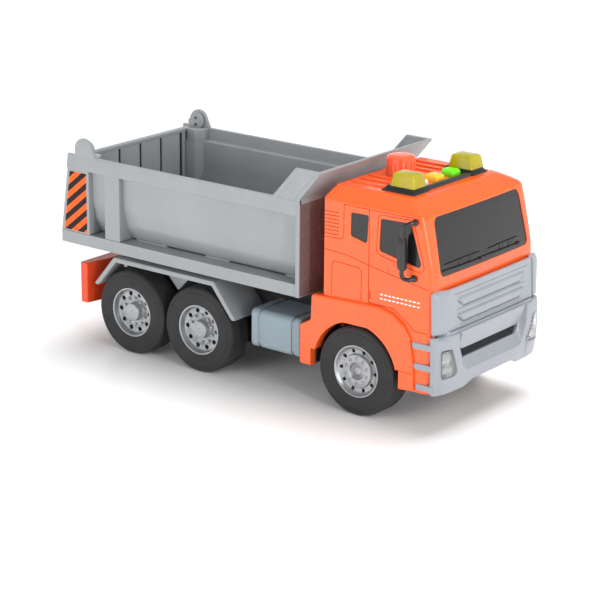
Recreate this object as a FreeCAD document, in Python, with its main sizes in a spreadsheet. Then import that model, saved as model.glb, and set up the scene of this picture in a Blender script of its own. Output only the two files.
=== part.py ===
import FreeCAD, Part
import os
import re
import Sketcher

# Toy dump truck with a friction motor, a tipping body and a swinging tailgate.
# Millimetres. +X is the truck's front, +Y its left, +Z up. The origin is on the ground,
# on the centreline, midway between the tail and the nose.

DIMENSIONS = """
nose_x            140     foremost point of the bumper
clearance         0.3     gap between moving mouldings
fit               0.05    radial gap of a running fit
axle_radius       1.5     steel axles
tyre_radius       25.75   tyre and ground contact
tyre_width        17      tyre across its sidewalls
tyre_shoulder     2.6     rounding of the tread's edges
shoulder_share    0.4     where the shoulder's bevel ends, as a share of the rounding
shoulder_drop     0.8     fall of the tread at that point
bead_depth        0.9     sidewall's step down to the rim
bead_width        1.6     that step
bead_rise         0.1     rise of the sidewall beside the step
bead_reach        3       where the sidewall becomes flat, outside the rim
rim_radius        15.2    where the tyre sits on its rim
rim_lip           1.3     thickness of the rim's outer lip
rim_dish          3.6     depth of the rear rims' dish
rim_face          2.6     depth of the front rims' face
rim_disc          1.8     thickness of a rim's disc
hub_radius        5.4     hub cap of a rear rim
hub_depth         0.8     hub cap below the sidewall
hub_edge          0.5     bevel of a hub cap
hub_step          1       raised ring round a hub cap
step_circle       1.6     outer edge of that ring, outside the ring of nuts
step_slope        0.4     slope of that ring's edge
hub_share         0.7     front hub cap against a rear one
cap_proud         0.6     front hub cap above the rim's face
boss_ratio        2.4     boss behind the rim against the axle
boss_short        1       boss ends this much inside the tyre
lip_edge          0.5     bevel of the rim's outer lip
vent_circle       11.2    radius of the ring of vent holes
vent_radius       1.5     vent holes of the rear rims
slot_radius       1.1     vent holes of the front rims
nut_circle        7.35    radius of the ring of nuts on a front rim
wheel_face        51.7    outer sidewall from the centreline
axle_end          4       axle's end inside the wheel's outer face
front_axle_x      82.7    front axle
middle_axle_x     -32.2   driven axle
rear_axle_x       -85.2   rear axle

frame_tail        -118    rear end of the chassis
frame_step        58      where the chassis widens under the cab
frame_front       126     front end of the chassis
frame_half        23      half width of the spine
frame_bottom      14.5    underside of the spine
frame_top         60.6    top of the spine
frame_wall        2       wall of the chassis
tray_half         31      half width of the tray under the cab
tray_bottom       20      underside of the tray
tray_top          34      top of the tray
pin_x             -119    tipper hinge pin
pin_z             55.5    tipper hinge pin
pin_radius        1.5     tipper hinge pin
lug_radius        4       lugs round the hinge pin
lug_inner         14.2    inner face of the chassis lugs
lug_outer         18.2    outer face of the chassis lugs
base_lug_inner    9.8     inner face of the tipper's lugs

motor_rear        -43     rear of the friction motor's case
motor_front       -5      front of the friction motor's case
motor_half        15      half width of the friction motor's case
motor_split       34      joint between the two halves of the case
motor_top         52      top of the case
motor_wall        1.4     wall of the case
gear_radius       6.4     pitch radius of the large gears
pinion_radius     3.2     pitch radius of the pinions
tooth_height      0.75    tooth above the pitch circle
tooth_depth       0.95    tooth below the pitch circle
tooth_half        0.48    half a tooth's thickness at the pitch circle
tooth_tip         0.2     half a tooth's thickness at its tip
tooth_root        0.74    half a tooth's thickness at its root
root_sink         1.5     tooth's foot below the root, against its depth
drive_near        -2      right face of the driven gear
drive_width       6       driven gear
idler_near        -3      right face of the idler's pinion
idler_width       8.4     idler's pinion
wheel_near        5.4     right face of the idler's wheel
wheel_width       4       idler's wheel
teeth_near        5       right face of the flywheel's pinion
teeth_width       5       flywheel's pinion
idler_x           -24.21  idler shaft
idler_z           31.34   idler shaft
flywheel_x        -16.22  flywheel shaft
flywheel_z        36.93   flywheel shaft
shaft_radius      1       shafts of the idler and the flywheel
flywheel_radius   8       flywheel disc
flywheel_width    7       flywheel disc
flywheel_near     -12.5   right face of the flywheel disc

cell_radius       7.25    round battery cell
cell_length       50.5    round battery cell
cell_x            0       rear end of the cells
cell_y            7.7     cell from the centreline
cell_z            24.4    cell's centre
nub_share         0.38    a cell's nub against its radius
plate_share       0.8     half a contact plate against a cell's radius
contact_thick     0.6     sprung contact plates
well_rear         -4      battery opening in the spine's floor
well_length       60      battery opening
door_screw_in     3.6     door screw behind the well's front edge
door_screw_long   6       door screw's shank
well_half         17      half width of the battery opening
screw_radius      1.1     screw shank
screw_head        2.6     screw head radius
screw_head_thick  1.5     screw head
screw_length      15      screw shank
screw_y           26      screws of the cab
screw_rear_x      63      screws of the cab
screw_front_x     122     screws of the cab

guard_outer       52      outer edge of the mudguards
guard_top         58      top of the mudguards
guard_thick       3       mudguard moulding
guard_rear_x      -98.3   rear corner of the mudguards
guard_front_x     -19.8   front corner of the mudguards
flap_rear_x       -115    rear flap's tip
flap_rear_z       38.3    rear flap's tip
flap_front_x      -3      front flap's tip
flap_front_z      37.1    front flap's tip
flap_thick        3.7     flap measured along X
guard_inset       1.7     shift of the mudguard's inner corners
gusset_x          -58.7   gusset between the tandem wheels
gusset_half       13      half width of the gusset's root
gusset_z          41.8    gusset's apex
gusset_outer      38.5    outer face of the gusset

tank_rear         5.9     fuel tank
tank_front        41.5    fuel tank
tank_bottom       23.6    fuel tank
tank_top          46.6    fuel tank
tank_outer        49      fuel tank
tank_round        3.2     rounding of the tank's long edges
tank_inset        0.7     depth of the strap grooves
strap_rear        11.2    rear strap groove
strap_front       35.2    front strap groove
strap_width       1.6     strap grooves

beam_rear         -125.2  rear bumper
beam_end          -119.7  front face of the rear bumper at its ends
beam_middle       -115.9  front face of the rear bumper beside the chassis
beam_knee         34      where the rear bumper thickens
beam_half         53      rear bumper
beam_bottom       25.2    rear bumper
beam_top          50.5    rear bumper
beam_round        1.2     rounding of the rear bumper's ends

sill_bottom       61.1    tipper base
sill_top          68.5    tipper base
sill_half         52.8    tipper base
sill_rear         -139.8  tipper base
sill_wall         3       rim of the base
sill_deck         2       plate of the base
tub_top           117.4   top of the side rails
rail_bottom       107.9   underside of the side rails
rail_half         53.7    outer face of the side rails
hull_half         49.5    outer face of the tub's side
hull_knee_z       90      where the side starts to curve in
hull_mid_half     46.6    outer face of the tub halfway down the curve
hull_mid_z        77.5    height of that point
hull_floor_half   41.5    outer face of the tub at its floor
tub_wall          2       tub moulding
bed_step          0.3     step in the floor under the tailgate
bed_rear          -121.5  rear edge of the load floor
tub_front         44.2    front face of the headboard
head_thick        2.9     headboard
tub_rear_top      -132.7  rear edge of the tub at its top
post_half         52.9    outer face of the posts
post_front        -116.7  rear post
post_inner        42.8    inner face of the rear post
rib_rear          -104    second post
rib_front         -92     second post
head_top          118.6   where the headboard turns into the cab guard
canopy_foot       25.8    foot of the raised side over the rail
canopy_corner     41.9    top rear corner of the raised side
canopy_tip        59      tip of the cab guard
canopy_top        135.6   top of the cab guard
ear_x             -119.7  tailgate hinge
ear_z             120.9   tailgate hinge
ear_radius        7       ears of the tub
ear_wide          0.8     ear's neck against its radius, along the truck
ear_neck          0.6     height of the neck above the pin, against the radius
gate_ear_short    1.6     tailgate's ear ends this much below the tub's
ear_rear          -127.1  foot of the ears
ear_front         -111.6  foot of the ears
ear_thick         2       ears of the tub
trunnion_radius   1.6     tailgate trunnions
gate_rear         -126    tailgate
gate_front        -122.2  tailgate
gate_half         42.3    tailgate between the posts
gate_foot_half    38.4    tailgate at the floor
gate_foot         71.1    bottom of the tailgate
gate_knee         84      where the tailgate reaches its full width
gate_step         110.4   where the tailgate widens over the posts
gate_ear          2.4     thickness of the tailgate's ears
gate_groove       1.2     depth of the grooves in the tailgate
groove_pitch      18      spacing of the grooves
groove_width      2.6     grooves in the tailgate
decal_thick       0.15    printed sticker
decal_front       -118.5  printed sticker
decal_in          2.2     lower rear corner, ahead of the sill's end
decal_foot        1       label above the sill
decal_head        1.4     label below the top rail
decal_edge        0.6     upper rear corner, ahead of the tub's end

cab_rear          58.8    back wall of the cab
cab_half          50.6    side of the cab
cab_bottom        30      lower edge of the cab walls
cab_front         133.6   front of the cab below the windscreen
cab_belt          89.5    foot of the windscreen
cab_brow          119.6   head of the windscreen
cab_brow_x        126     front of the cab at the head of the windscreen
cab_eave          122     where the side turns into the roof
cab_eave_x        125     front of the cab at the eaves
cab_roof          127.5   roof
cab_roof_x        116     front edge of the flat roof
cab_roof_half     41.5    half width of the flat roof
cab_corner        9       rounding of the cab's front corners
cab_wall          2       cab moulding
glass_inset       0.35    glazing below the cab's surface
glass_thick       1.65    glazing
screen_top_half   40.3    windscreen at its head
screen_half       42      windscreen at its foot
quarter_rear      77.4    rear side window
quarter_front     89.3    rear side window
door_glass_rear   97      door window
door_glass_front  125     door window at its foot
door_glass_head   117     door window at its head
glass_top         116.6   side windows
quarter_foot      101.5   foot of the rear side window
door_foot         92.4    foot of the door window
door_foot_rear    98.1    foot of the door window at its rear
flange            1.2     inner flange that joins the side windows
arch_radius       29.8    wheel arch
arch_top          53.3    flat top of the wheel arch
arch_inner        33      inner edge of the wheel arch
arch_liner        1.6     arch liner
flare_half        52.8    wheel arch flare
flare_inner       47.5    inner face of the flare
flare_leg_rear    44      foot of the rear leg
flare_leg_top     46      top of the rear leg
flare_step_x      51.4    rear edge of the flare
flare_step_z      50      rear edge of the flare
flare_top         66.2    top of the flare
flare_shoulder_x  103     front end of the flare's top
flare_knee_x      117     front corner of the flare
flare_knee_z      58.7    front corner of the flare
flare_toe_x       122.1   foot of the flare
flare_bottom      22.8    foot of the flare
ledge             4       ledges that take the cab's screws
rib_x             62.5    roof ribs
rib_length        24      roof ribs
rib_width         2.6     roof ribs
rib_first_y       14.5    first roof rib
rib_pitch         8       spacing of the roof ribs
rib_height        0.9     roof ribs

panel_bottom      56.2    front panel
panel_top         81.3    front panel
panel_half        48.5    front panel
panel_side_x      133.4   side edge of the front panel
panel_corner_x    135.4   corner of the front panel
panel_corner_half 43.3    corner of the front panel
panel_front       137.2   middle of the front panel
panel_rear        127     where the front panel wraps onto the cab
panel_edge        0.6     panel's rear edge outside its side
panel_ease        0.6     middle set back behind the foremost line
panel_share       0.5     flat middle of the panel against its corner
slat_proud        0.9     embossed slats
slat_top          75      upper slat
slat_drop         5       height of a slat
slat_pitch        9       spacing of the slats
slat_half         35      upper edge of a slat
slat_taper        7       how much shorter the lower edge is

bumper_bottom     22.6    bumper
bumper_half       50.4    bumper
bumper_rear       122.6   bumper
bumper_corner_x   136     bumper's corner
bumper_corner     45      bumper's corner
bumper_cheek_x    138.4   bumper beside the scoop
bumper_cheek      34      bumper beside the scoop
bumper_share      0.5     sideways part of an inset at the bumper's corner
nose_share        0.4     flat of the nose against the cheeks
bumper_wall       2.4     bumper moulding
chin_half         19.7    notch under the bumper
chin_foot         27      notch under the bumper
chin_top          25.7    notch under the bumper
scoop_half        26      foot of the scoop
scoop_top_half    36      head of the scoop
scoop_bottom      31      scoop
scoop_top         53.7    scoop
scoop_depth       3.2     scoop
mesh_half         24      foot of the mesh
mesh_top_half     28      head of the mesh
mesh_bottom       40      mesh
mesh_top          44.6    mesh
mesh_thick        1.2     mesh
lamp_outer        45      headlamp
lamp_inner_top    36.5    headlamp
lamp_inner        30      headlamp
lamp_top          47      headlamp
lamp_bottom       31.2    headlamp
lamp_rise         0.6     outer lower corner above the inner one
step_proud        1.7     side steps
step_height       3.7     side steps
step_bottom       24.5    lowest side step
step_pitch        11.6    spacing of the side steps
step_rear         122.9   rear end of the lowest step
step_shift        1.6     each higher step starts this much further back
step_end          5       steps end this much behind the bumper's corner

bar_rear          86.5    pads of the light bar
bar_front         108.5   pads of the light bar
bar_inner         19      pads of the light bar
bar_outer         37      pads of the light bar
bar_height        3.1     pads of the light bar
bar_bevel         40      slope of the pads' sides in degrees
link_front        107     narrow bar between the pads
link_rear         103.2   narrow bar between the pads
link_height       2       narrow bar between the pads
lens_rear         89      roof lens
lens_front        107     roof lens
lens_inner        21      roof lens
lens_outer        35      roof lens
lens_height       7.1     roof lens
lens_taper        14      slope of the lens's sides in degrees
lens_wall         1.4     roof lens
button_x          92.2    rear edge of the buttons
button_length     9.8     buttons
button_width      9.4     buttons
button_pitch      15.8    spacing of the buttons
button_top        131.3   buttons
button_foot       124.4   foot of a button's stem
button_flange     0.9     flange that holds a button in
flange_top        125.3   top of that flange
button_round      1.2     rounding of the buttons
beacon_x          74.2    beacon
beacon_radius     8.5     beacon
beacon_top        138.6   beacon
beacon_wall       1.3     beacon
board_rear        66      circuit board
board_front       106     circuit board
board_half        30      circuit board
board_bottom      119.8   circuit board
board_thick       1.4     circuit board
mat_thick         1.8     rubber switch mat
mat_rear          88      rubber switch mat
mat_half          23      rubber switch mat
lamp_radius       2       soldered lamps
lamp_height       8       soldered lamps
speaker_x         106     loudspeaker
speaker_radius    14      loudspeaker
speaker_height    6       loudspeaker
magnet_radius     8       loudspeaker magnet
magnet_height     3       loudspeaker magnet

mirror_x          112.6   mirror head
mirror_length     3.6     mirror head
mirror_inner      52.6    mirror head
mirror_outer      57.2    mirror head
mirror_bottom     91.5    mirror head
mirror_top        109.5   mirror head
mirror_round      1.2     rounding of the mirror head
arm_radius        0.8     mirror arms
arm_x             119.5   mirror arms
arm_top           118.6   upper mirror arm
arm_bottom        86.9    lower mirror arm
"""

DOC = FreeCAD.newDocument("ToyDumpTruck")
SHEET = DOC.addObject("Spreadsheet::Sheet", "Dims")
ALIASES = set()
PIECES = []
TURN = {"X": (FreeCAD.Vector(0, 1, 0), 90), "Y": (FreeCAD.Vector(1, 0, 0), -90),
        "Z": (FreeCAD.Vector(0, 0, 1), 0)}
SIDES = (("right", -1), ("left", 1))
BEAM_SIDE = 50       # upright edges of the rear beam beyond this get rounded
CAP_TOP = 131        # edges of a button above this get rounded
DRAWN = 8            # radius at which a ring of holes is first drawn, before its own value moves it
TINY = 1e-4          # lengths below this count as nothing
VENT_COUNT = 10      # vent holes of a rim
LARGE_TEETH = 16     # teeth of the driven gear and of the idler
SMALL_TEETH = 8      # teeth of a pinion
MESH_SLOPE = 35      # direction from each shaft to the next, degrees
HALF_TOOTH = 22.5    # half the pitch of a pinion, degrees
TRIO = 3             # louvres, ribs, buttons and steps come in threes


def fill_sheet():
    """Put every driving dimension in a named cell."""
    for row, line in enumerate(DIMENSIONS.replace("\n\n", "\n").strip().splitlines(), start=1):
        alias, value, meaning = line.split(None, 2)
        SHEET.set(f"A{row}", meaning)
        SHEET.set(f"B{row}", value)
        SHEET.setAlias(f"B{row}", alias)
        ALIASES.add(alias)
    DOC.recompute()


def at(expression):
    """The expression with each dimension's name written as its cell."""
    return re.sub(r"[a-z_]+", lambda word: f"Dims.{word[0]}" if word[0] in ALIASES else word[0], expression)


def bind(item, **expressions):
    """Bind properties of an object to expressions of the dimensions."""
    for name, expression in expressions.items():
        item.setExpression(name, at(expression))


def move(item, place):
    """Bind an object's position to three expressions."""
    for letter, expression in zip("xyz", place):
        item.setExpression(f"Placement.Base.{letter}", at(expression))


def keep(name, item):
    """Name a finished sub-part."""
    item.Label = name
    PIECES.append(item)


def block(name, low, size):
    """A box from its lowest corner and its size along X, Y and Z."""
    item = DOC.addObject("Part::Box", name)
    move(item, low)
    bind(item, Length=size[0], Width=size[1], Height=size[2])
    return item


def rod(name, axis, start, radius, length):
    """A cylinder from the middle of its first face."""
    item = DOC.addObject("Part::Cylinder", name)
    item.Placement = FreeCAD.Placement(FreeCAD.Vector(), FreeCAD.Rotation(*TURN[axis]))
    move(item, start)
    bind(item, Radius=radius, Height=length)
    return item


def fuse(name, *shapes):
    """Join shapes into one solid."""
    item = DOC.addObject("Part::MultiFuse", name)
    item.Shapes = list(shapes)
    return item


def cut(name, base, *tools):
    """Take one or more shapes away from a base."""
    item = DOC.addObject("Part::Cut", name)
    item.Base = base
    item.Tool = tools[0] if len(tools) == 1 else fuse(name + "_tools", *tools)
    return item


def common(name, base, tool):
    """What two shapes share."""
    item = DOC.addObject("Part::Common", name)
    item.Base = base
    item.Tool = tool
    return item


def mirror(name, source):
    """The same shape on the truck's other side."""
    item = DOC.addObject("Part::Mirroring", name)
    item.Source = source
    item.Normal = FreeCAD.Vector(0, 1, 0)
    return item


def draw(sketch, outline):
    """Draw a closed outline whose corners are bound to expressions."""
    count = len(outline)
    circle = Part.Circle(FreeCAD.Vector(), FreeCAD.Vector(0, 0, 1), 1)
    corners = circle.toShape().discretize(count + 1)
    for index in range(count):
        sketch.addGeometry(Part.LineSegment(corners[index], corners[(index + 1) % count]), False)
    for index in range(count):
        sketch.addConstraint(Sketcher.Constraint("Coincident", index, 2, (index + 1) % count, 1))
    for index, corner in enumerate(outline):
        start = corners[index]
        for kind, expression, value in zip(("DistanceX", "DistanceY"), corner, (start.x, start.y)):
            number = sketch.addConstraint(Sketcher.Constraint(kind, -1, 1, index, 1, value))
            sketch.setExpression(f"Constraints[{number}]", at(expression))


def sketch_in(body, name, role, near):
    """A sketch on one of the body's own planes, moved along that plane's axis."""
    sketch = body.newObject("Sketcher::SketchObject", name)
    plane = [item for item in body.Origin.OriginFeatures if item.Role == role][0]
    sketch.AttachmentSupport = [(plane, "")]
    sketch.MapMode = "FlatFace"
    offset = f"-({near})" if role == "XZ_Plane" else near
    sketch.setExpression(".AttachmentOffset.Base.z", at(offset))
    return sketch


def prism(name, role, outline, near, depth, taper=None):
    """A body padded from an outline, starting at near and running towards the plus side."""
    body = DOC.addObject("PartDesign::Body", name)
    sketch = sketch_in(body, name + "_outline", role, near)
    draw(sketch, outline)
    pad = body.newObject("PartDesign::Pad", name + "_pad")
    pad.Profile = sketch
    pad.Reversed = role == "XZ_Plane"
    pad.setExpression("Length", at(depth))
    if taper:
        pad.setExpression("TaperAngle", at(f"-({taper})"))
    return body


def lathe(name, outline):
    """A body turned about its own Y axis from an outline of (radius, distance along the axis)."""
    body = DOC.addObject("PartDesign::Body", name)
    sketch = sketch_in(body, name + "_outline", "XY_Plane", "0")
    draw(sketch, outline)
    turned = body.newObject("PartDesign::Revolution", name + "_turned")
    turned.Profile = sketch
    turned.ReferenceAxis = (sketch, ["V_Axis"])
    turned.Angle = 360
    return body


def drill_ring(body, radius, circle, count, depth):
    """Cut a ring of round holes along a body's Y axis."""
    sketch = sketch_in(body, body.Name + "_hole", "XZ_Plane", "0")
    sketch.addGeometry(Part.Circle(FreeCAD.Vector(DRAWN, 0, 0), FreeCAD.Vector(0, 0, 1), 1), False)
    sketch.addConstraint(Sketcher.Constraint("Radius", 0, 1))
    sketch.setExpression("Constraints[0]", at(radius))
    sketch.addConstraint(Sketcher.Constraint("DistanceX", -1, 1, 0, 3, DRAWN))
    sketch.setExpression("Constraints[1]", at(circle))
    sketch.addConstraint(Sketcher.Constraint("DistanceY", -1, 1, 0, 3, 0))
    pocket = body.newObject("PartDesign::Pocket", body.Name + "_pocket")
    pocket.Profile = sketch
    pocket.setExpression("Length", at(depth))
    ring = body.newObject("PartDesign::PolarPattern", body.Name + "_ring")
    ring.Originals = [pocket]
    ring.Axis = (sketch, ["N_Axis"])
    ring.Angle = 360
    ring.Occurrences = count
    body.Tip = ring


def round_edges(body, radius, wanted):
    """Fillet the edges of a body that pass a test."""
    DOC.recompute()
    solid = body.Tip
    names = [f"Edge{index}" for index, edge in enumerate(solid.Shape.Edges, start=1) if wanted(edge)]
    fillet = body.newObject("PartDesign::Fillet", body.Name + "_round")
    fillet.Base = (solid, names)
    fillet.setExpression("Radius", at(radius))
    return body


def runs_along(edge, letter):
    """Whether a straight edge is parallel to an axis."""
    lengths = {"X": edge.BoundBox.XLength, "Y": edge.BoundBox.YLength, "Z": edge.BoundBox.ZLength}
    return lengths[letter] > TINY and sum(lengths.values()) - lengths[letter] < TINY


# Wheels

def tyre(name, place, turned):
    """A tyre, its outer sidewall at the body's origin plane."""
    outline = [("rim_radius", "bead_depth"), ("rim_radius + bead_width", "bead_rise"),
               ("rim_radius + bead_reach", "0"),
               ("tyre_radius - tyre_shoulder", "0"),
               ("tyre_radius - shoulder_drop", "tyre_shoulder * shoulder_share"),
               ("tyre_radius", "tyre_shoulder"), ("tyre_radius", "tyre_width - tyre_shoulder"),
               ("tyre_radius - shoulder_drop", "tyre_width - tyre_shoulder * shoulder_share"),
               ("tyre_radius - tyre_shoulder", "tyre_width"), ("rim_radius", "tyre_width")]
    body = lathe(name, outline)
    seat(body, place, turned)
    keep(name, body)


def rim(name, place, turned, driven):
    """A plated rim: deep dish with a hub cap on the tandem wheels, shallow face in front."""
    depth = "rim_dish" if driven else "rim_face"
    cap = "hub_depth" if driven else "rim_face - cap_proud"
    hub = "hub_radius" if driven else "hub_radius * hub_share"
    boss = "axle_radius * boss_ratio"
    back = "tyre_width - boss_short"
    outline = [("0", cap), (f"{hub} - hub_edge", cap), (hub, f"{cap} + hub_edge"),
               (hub, f"{depth} - hub_step"),
               ("nut_circle + step_circle", f"{depth} - hub_step"),
               ("nut_circle + step_circle + step_slope", depth),
               ("rim_radius - rim_lip * 2", depth), ("rim_radius - rim_lip", "bead_depth"),
               ("rim_radius", "lip_edge"), ("rim_radius", "tyre_width - lip_edge"),
               ("rim_radius - rim_lip", "tyre_width - lip_edge"),
               ("rim_radius - rim_lip", f"{depth} + rim_disc"), (boss, f"{depth} + rim_disc"),
               (boss, back), ("axle_radius", back),
               ("axle_radius", f"{cap} + rim_disc"), ("0", f"{cap} + rim_disc")]
    body = lathe(name, outline)
    drill_ring(body, "vent_radius" if driven else "slot_radius", "vent_circle", VENT_COUNT, "tyre_width")
    seat(body, place, turned)
    keep(name, body)


def seat(item, place, turned):
    """Put a wheel's piece on its axle, facing right, or left when turned."""
    if turned:
        item.Placement = FreeCAD.Placement(FreeCAD.Vector(), FreeCAD.Rotation(FreeCAD.Vector(0, 0, 1), 180))
    move(item, place)


def wheel_set(label, axle_x, driven):
    """An axle with its two rims and two tyres."""
    keep(f"{label}_axle", rod(f"{label}_axle", "Y", (axle_x, "-(wheel_face - axle_end)", "tyre_radius"),
                              "axle_radius", "(wheel_face - axle_end) * 2"))
    for side, sign in SIDES:
        place = (axle_x, f"wheel_face * {sign}", "tyre_radius")
        tyre(f"{label}_tyre_{side}", place, sign > 0)
        rim(f"{label}_rim_{side}", place, sign > 0, driven)


# Friction motor

def gear(name, teeth, radius, near, width, bore):
    """A spur gear about the body's Y axis, with a tooth towards +X."""
    body = lathe(name, [("0", near), (f"{radius} - tooth_depth", near),
                        (f"{radius} - tooth_depth", f"{near} + {width}"), ("0", f"{near} + {width}")])
    sketch = sketch_in(body, name + "_tooth", "XZ_Plane", near)
    draw(sketch, [(f"{radius} - tooth_depth * root_sink", "-tooth_root"),
                  (f"{radius} - tooth_depth", "-tooth_root"),
                  (radius, "-tooth_half"), (f"{radius} + tooth_height", "-tooth_tip"),
                  (f"{radius} + tooth_height", "tooth_tip"), (radius, "tooth_half"),
                  (f"{radius} - tooth_depth", "tooth_root"),
                  (f"{radius} - tooth_depth * root_sink", "tooth_root")])
    tooth = body.newObject("PartDesign::Pad", name + "_tooth_pad")
    tooth.Profile = sketch
    tooth.Reversed = True
    tooth.setExpression("Length", at(width))
    ring = body.newObject("PartDesign::PolarPattern", name + "_teeth")
    ring.Originals = [tooth]
    ring.Axis = (sketch, ["N_Axis"])
    ring.Angle = 360
    ring.Occurrences = teeth
    body.Tip = ring
    if bore is None:
        return body
    return cut(name + "_bored", body, rod(name + "_bore", "Y", ("0", f"{near} - 1", "0"), bore,
                                          f"{width} + 2"))


def turn_gear(item, angle, place):
    """Turn a gear about its axis and put it on its shaft."""
    item.Placement = FreeCAD.Placement(FreeCAD.Vector(), FreeCAD.Rotation(FreeCAD.Vector(0, -1, 0), angle))
    move(item, place)


def friction_motor():
    """Gear train in a two-part case: driven axle, idler, flywheel."""
    drive = gear("drive_wheel", LARGE_TEETH, "gear_radius", "drive_near", "drive_width", "axle_radius")
    turn_gear(drive, MESH_SLOPE, ("middle_axle_x", "0", "tyre_radius"))
    keep("drive_gear", drive)

    shaft = rod("idler_shaft", "Y", ("0", "-(motor_half - fit)", "0"), "shaft_radius",
                "(motor_half - fit) * 2")
    small = gear("idler_pinion", SMALL_TEETH, "pinion_radius", "idler_near", "idler_width", None)
    large = gear("idler_wheel", LARGE_TEETH, "gear_radius", "wheel_near", "wheel_width", None)
    turn_gear(small, MESH_SLOPE + HALF_TOOTH, ("0", "0", "0"))
    turn_gear(large, MESH_SLOPE, ("0", "0", "0"))
    idler = fuse("idler_gear", shaft, small, large)
    move(idler, ("idler_x", "0", "idler_z"))
    keep("idler_gear", idler)

    pinion = gear("flywheel_teeth", SMALL_TEETH, "pinion_radius", "teeth_near", "teeth_width", None)
    turn_gear(pinion, MESH_SLOPE + HALF_TOOTH, ("0", "0", "0"))
    spindle = rod("flywheel_shaft", "Y", ("0", "-(motor_half - fit)", "0"), "shaft_radius",
                  "(motor_half - fit) * 2")
    fast = fuse("flywheel_pinion", pinion, spindle)
    move(fast, ("flywheel_x", "0", "flywheel_z"))
    keep("flywheel_pinion", fast)

    disc = cut("flywheel", rod("flywheel_disc", "Y", ("0", "flywheel_near", "0"), "flywheel_radius",
                               "flywheel_width"),
               rod("flywheel_bore", "Y", ("0", "flywheel_near - 0.5", "0"), "shaft_radius",
                   "flywheel_width + 1"))
    move(disc, ("flywheel_x", "0", "flywheel_z"))
    keep("flywheel", disc)
    motor_case()


def motor_case():
    """Two half shells round the gear train, with bearing bores for its shafts."""
    halves = (("lower", "frame_bottom + frame_wall + 0.1", "motor_split", "motor_wall", "motor_wall + 1"),
              ("upper", "motor_split", "motor_top", "-1", "motor_wall + 1"))
    for half, bottom, top, floor, slack in halves:
        size = ("motor_front - motor_rear", "motor_half * 2", f"({top}) - ({bottom})")
        shell = block(f"case_{half}_block", ("motor_rear", "-motor_half", bottom), size)
        inside = ("motor_front - motor_rear - motor_wall * 2", "motor_half * 2 - motor_wall * 2",
                  f"{size[2]} - motor_wall" if half == "upper" else size[2])
        rise = f"({bottom}) + motor_wall" if half == "lower" else bottom
        hollow = block(f"case_{half}_hollow", ("motor_rear + motor_wall", "-motor_half + motor_wall", rise),
                       inside)
        bores = [rod(f"case_{half}_bore_{number}", "Y", (x, "-motor_half - 1", z), radius,
                     "motor_half * 2 + 2")
                 for number, (x, z, radius) in enumerate((
                     ("middle_axle_x", "tyre_radius", "axle_radius + clearance"),
                     ("idler_x", "idler_z", "shaft_radius + fit"),
                     ("flywheel_x", "flywheel_z", "shaft_radius + fit")))]
        keep(f"motor_case_{half}", cut(f"motor_case_{half}", shell, hollow, *bores))


# Chassis

def chassis_frame():
    """The black spine with its tray under the cab, axle bearings and hinge lugs."""
    length = "frame_step - frame_tail"
    spine = block("spine", ("frame_tail", "-frame_half", "frame_bottom"),
                  (length, "frame_half * 2", "frame_top - frame_bottom"))
    tray = block("tray", ("frame_step - frame_wall", "-tray_half", "tray_bottom"),
                 ("frame_front - frame_step + frame_wall", "tray_half * 2", "tray_top - tray_bottom"))
    lugs = []
    for number, y in enumerate(("lug_inner", "-lug_outer")):
        lugs.append(rod(f"lug_eye_{number}", "Y", ("pin_x", y, "pin_z"), "lug_radius",
                        "lug_outer - lug_inner"))
        lugs.append(block(f"lug_web_{number}", ("pin_x", y, "pin_z - lug_radius"),
                          ("frame_tail - pin_x + frame_wall", "lug_outer - lug_inner", "lug_radius * 2")))
    spine_hollow = block("spine_hollow", ("frame_tail + frame_wall", "-frame_half + frame_wall",
                                          "frame_bottom + frame_wall"),
                         (f"{length} - frame_wall * 2", "(frame_half - frame_wall) * 2", "frame_top"))
    tray_hollow = block("tray_hollow", ("frame_step", "-tray_half + frame_wall", "tray_bottom + frame_wall"),
                        ("frame_front - frame_step - frame_wall", "(tray_half - frame_wall) * 2", "tray_top"))
    well = block("battery_well", ("well_rear", "-well_half", "frame_bottom - 1"),
                 ("well_length", "well_half * 2", "frame_wall + 2"))
    slots = [block(f"lug_slot_{number}", ("frame_tail - 1", y, "pin_z - lug_radius"),
                   ("frame_wall + 2", "lug_inner - base_lug_inner + clearance", "frame_top"))
             for number, y in enumerate(("base_lug_inner - clearance", "-lug_inner"))]
    holes = [rod(f"axle_hole_{number}", "Y", (x, "-tray_half - 1", "tyre_radius"), "axle_radius + fit",
                 "tray_half * 2 + 2")
             for number, x in enumerate(("front_axle_x", "middle_axle_x", "rear_axle_x"))]
    pin_hole = rod("pin_hole", "Y", ("pin_x", "-frame_half", "pin_z"), "pin_radius", "frame_half * 2")
    screw_holes = [rod(f"tray_hole_{number}", "Z", (x, y, "tray_bottom - 1"), "screw_radius",
                       "frame_wall + 2")
                   for number, (x, y) in enumerate(screw_places())]
    sound = rod("sound_hole", "Z", ("speaker_x", "0", "tray_bottom - 1"), "speaker_radius - 3",
                "frame_wall + 2")
    shell = cut("chassis_shell", fuse("chassis_solid", spine, tray), spine_hollow, tray_hollow, well, sound,
                *slots)
    frame = cut("chassis_frame", fuse("chassis_joined", shell, *lugs), pin_hole, *holes, *screw_holes)
    keep("chassis_frame", frame)
    pin = rod("tipper_hinge_pin", "Y", ("pin_x", "-lug_outer", "pin_z"), "pin_radius", "lug_outer * 2")
    keep("tipper_hinge_pin", pin)


def screw_places():
    """Where the screws of the cab stand, seen from above."""
    return [(x, y) for x in ("screw_rear_x", "screw_front_x") for y in ("-screw_y", "screw_y")]


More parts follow.
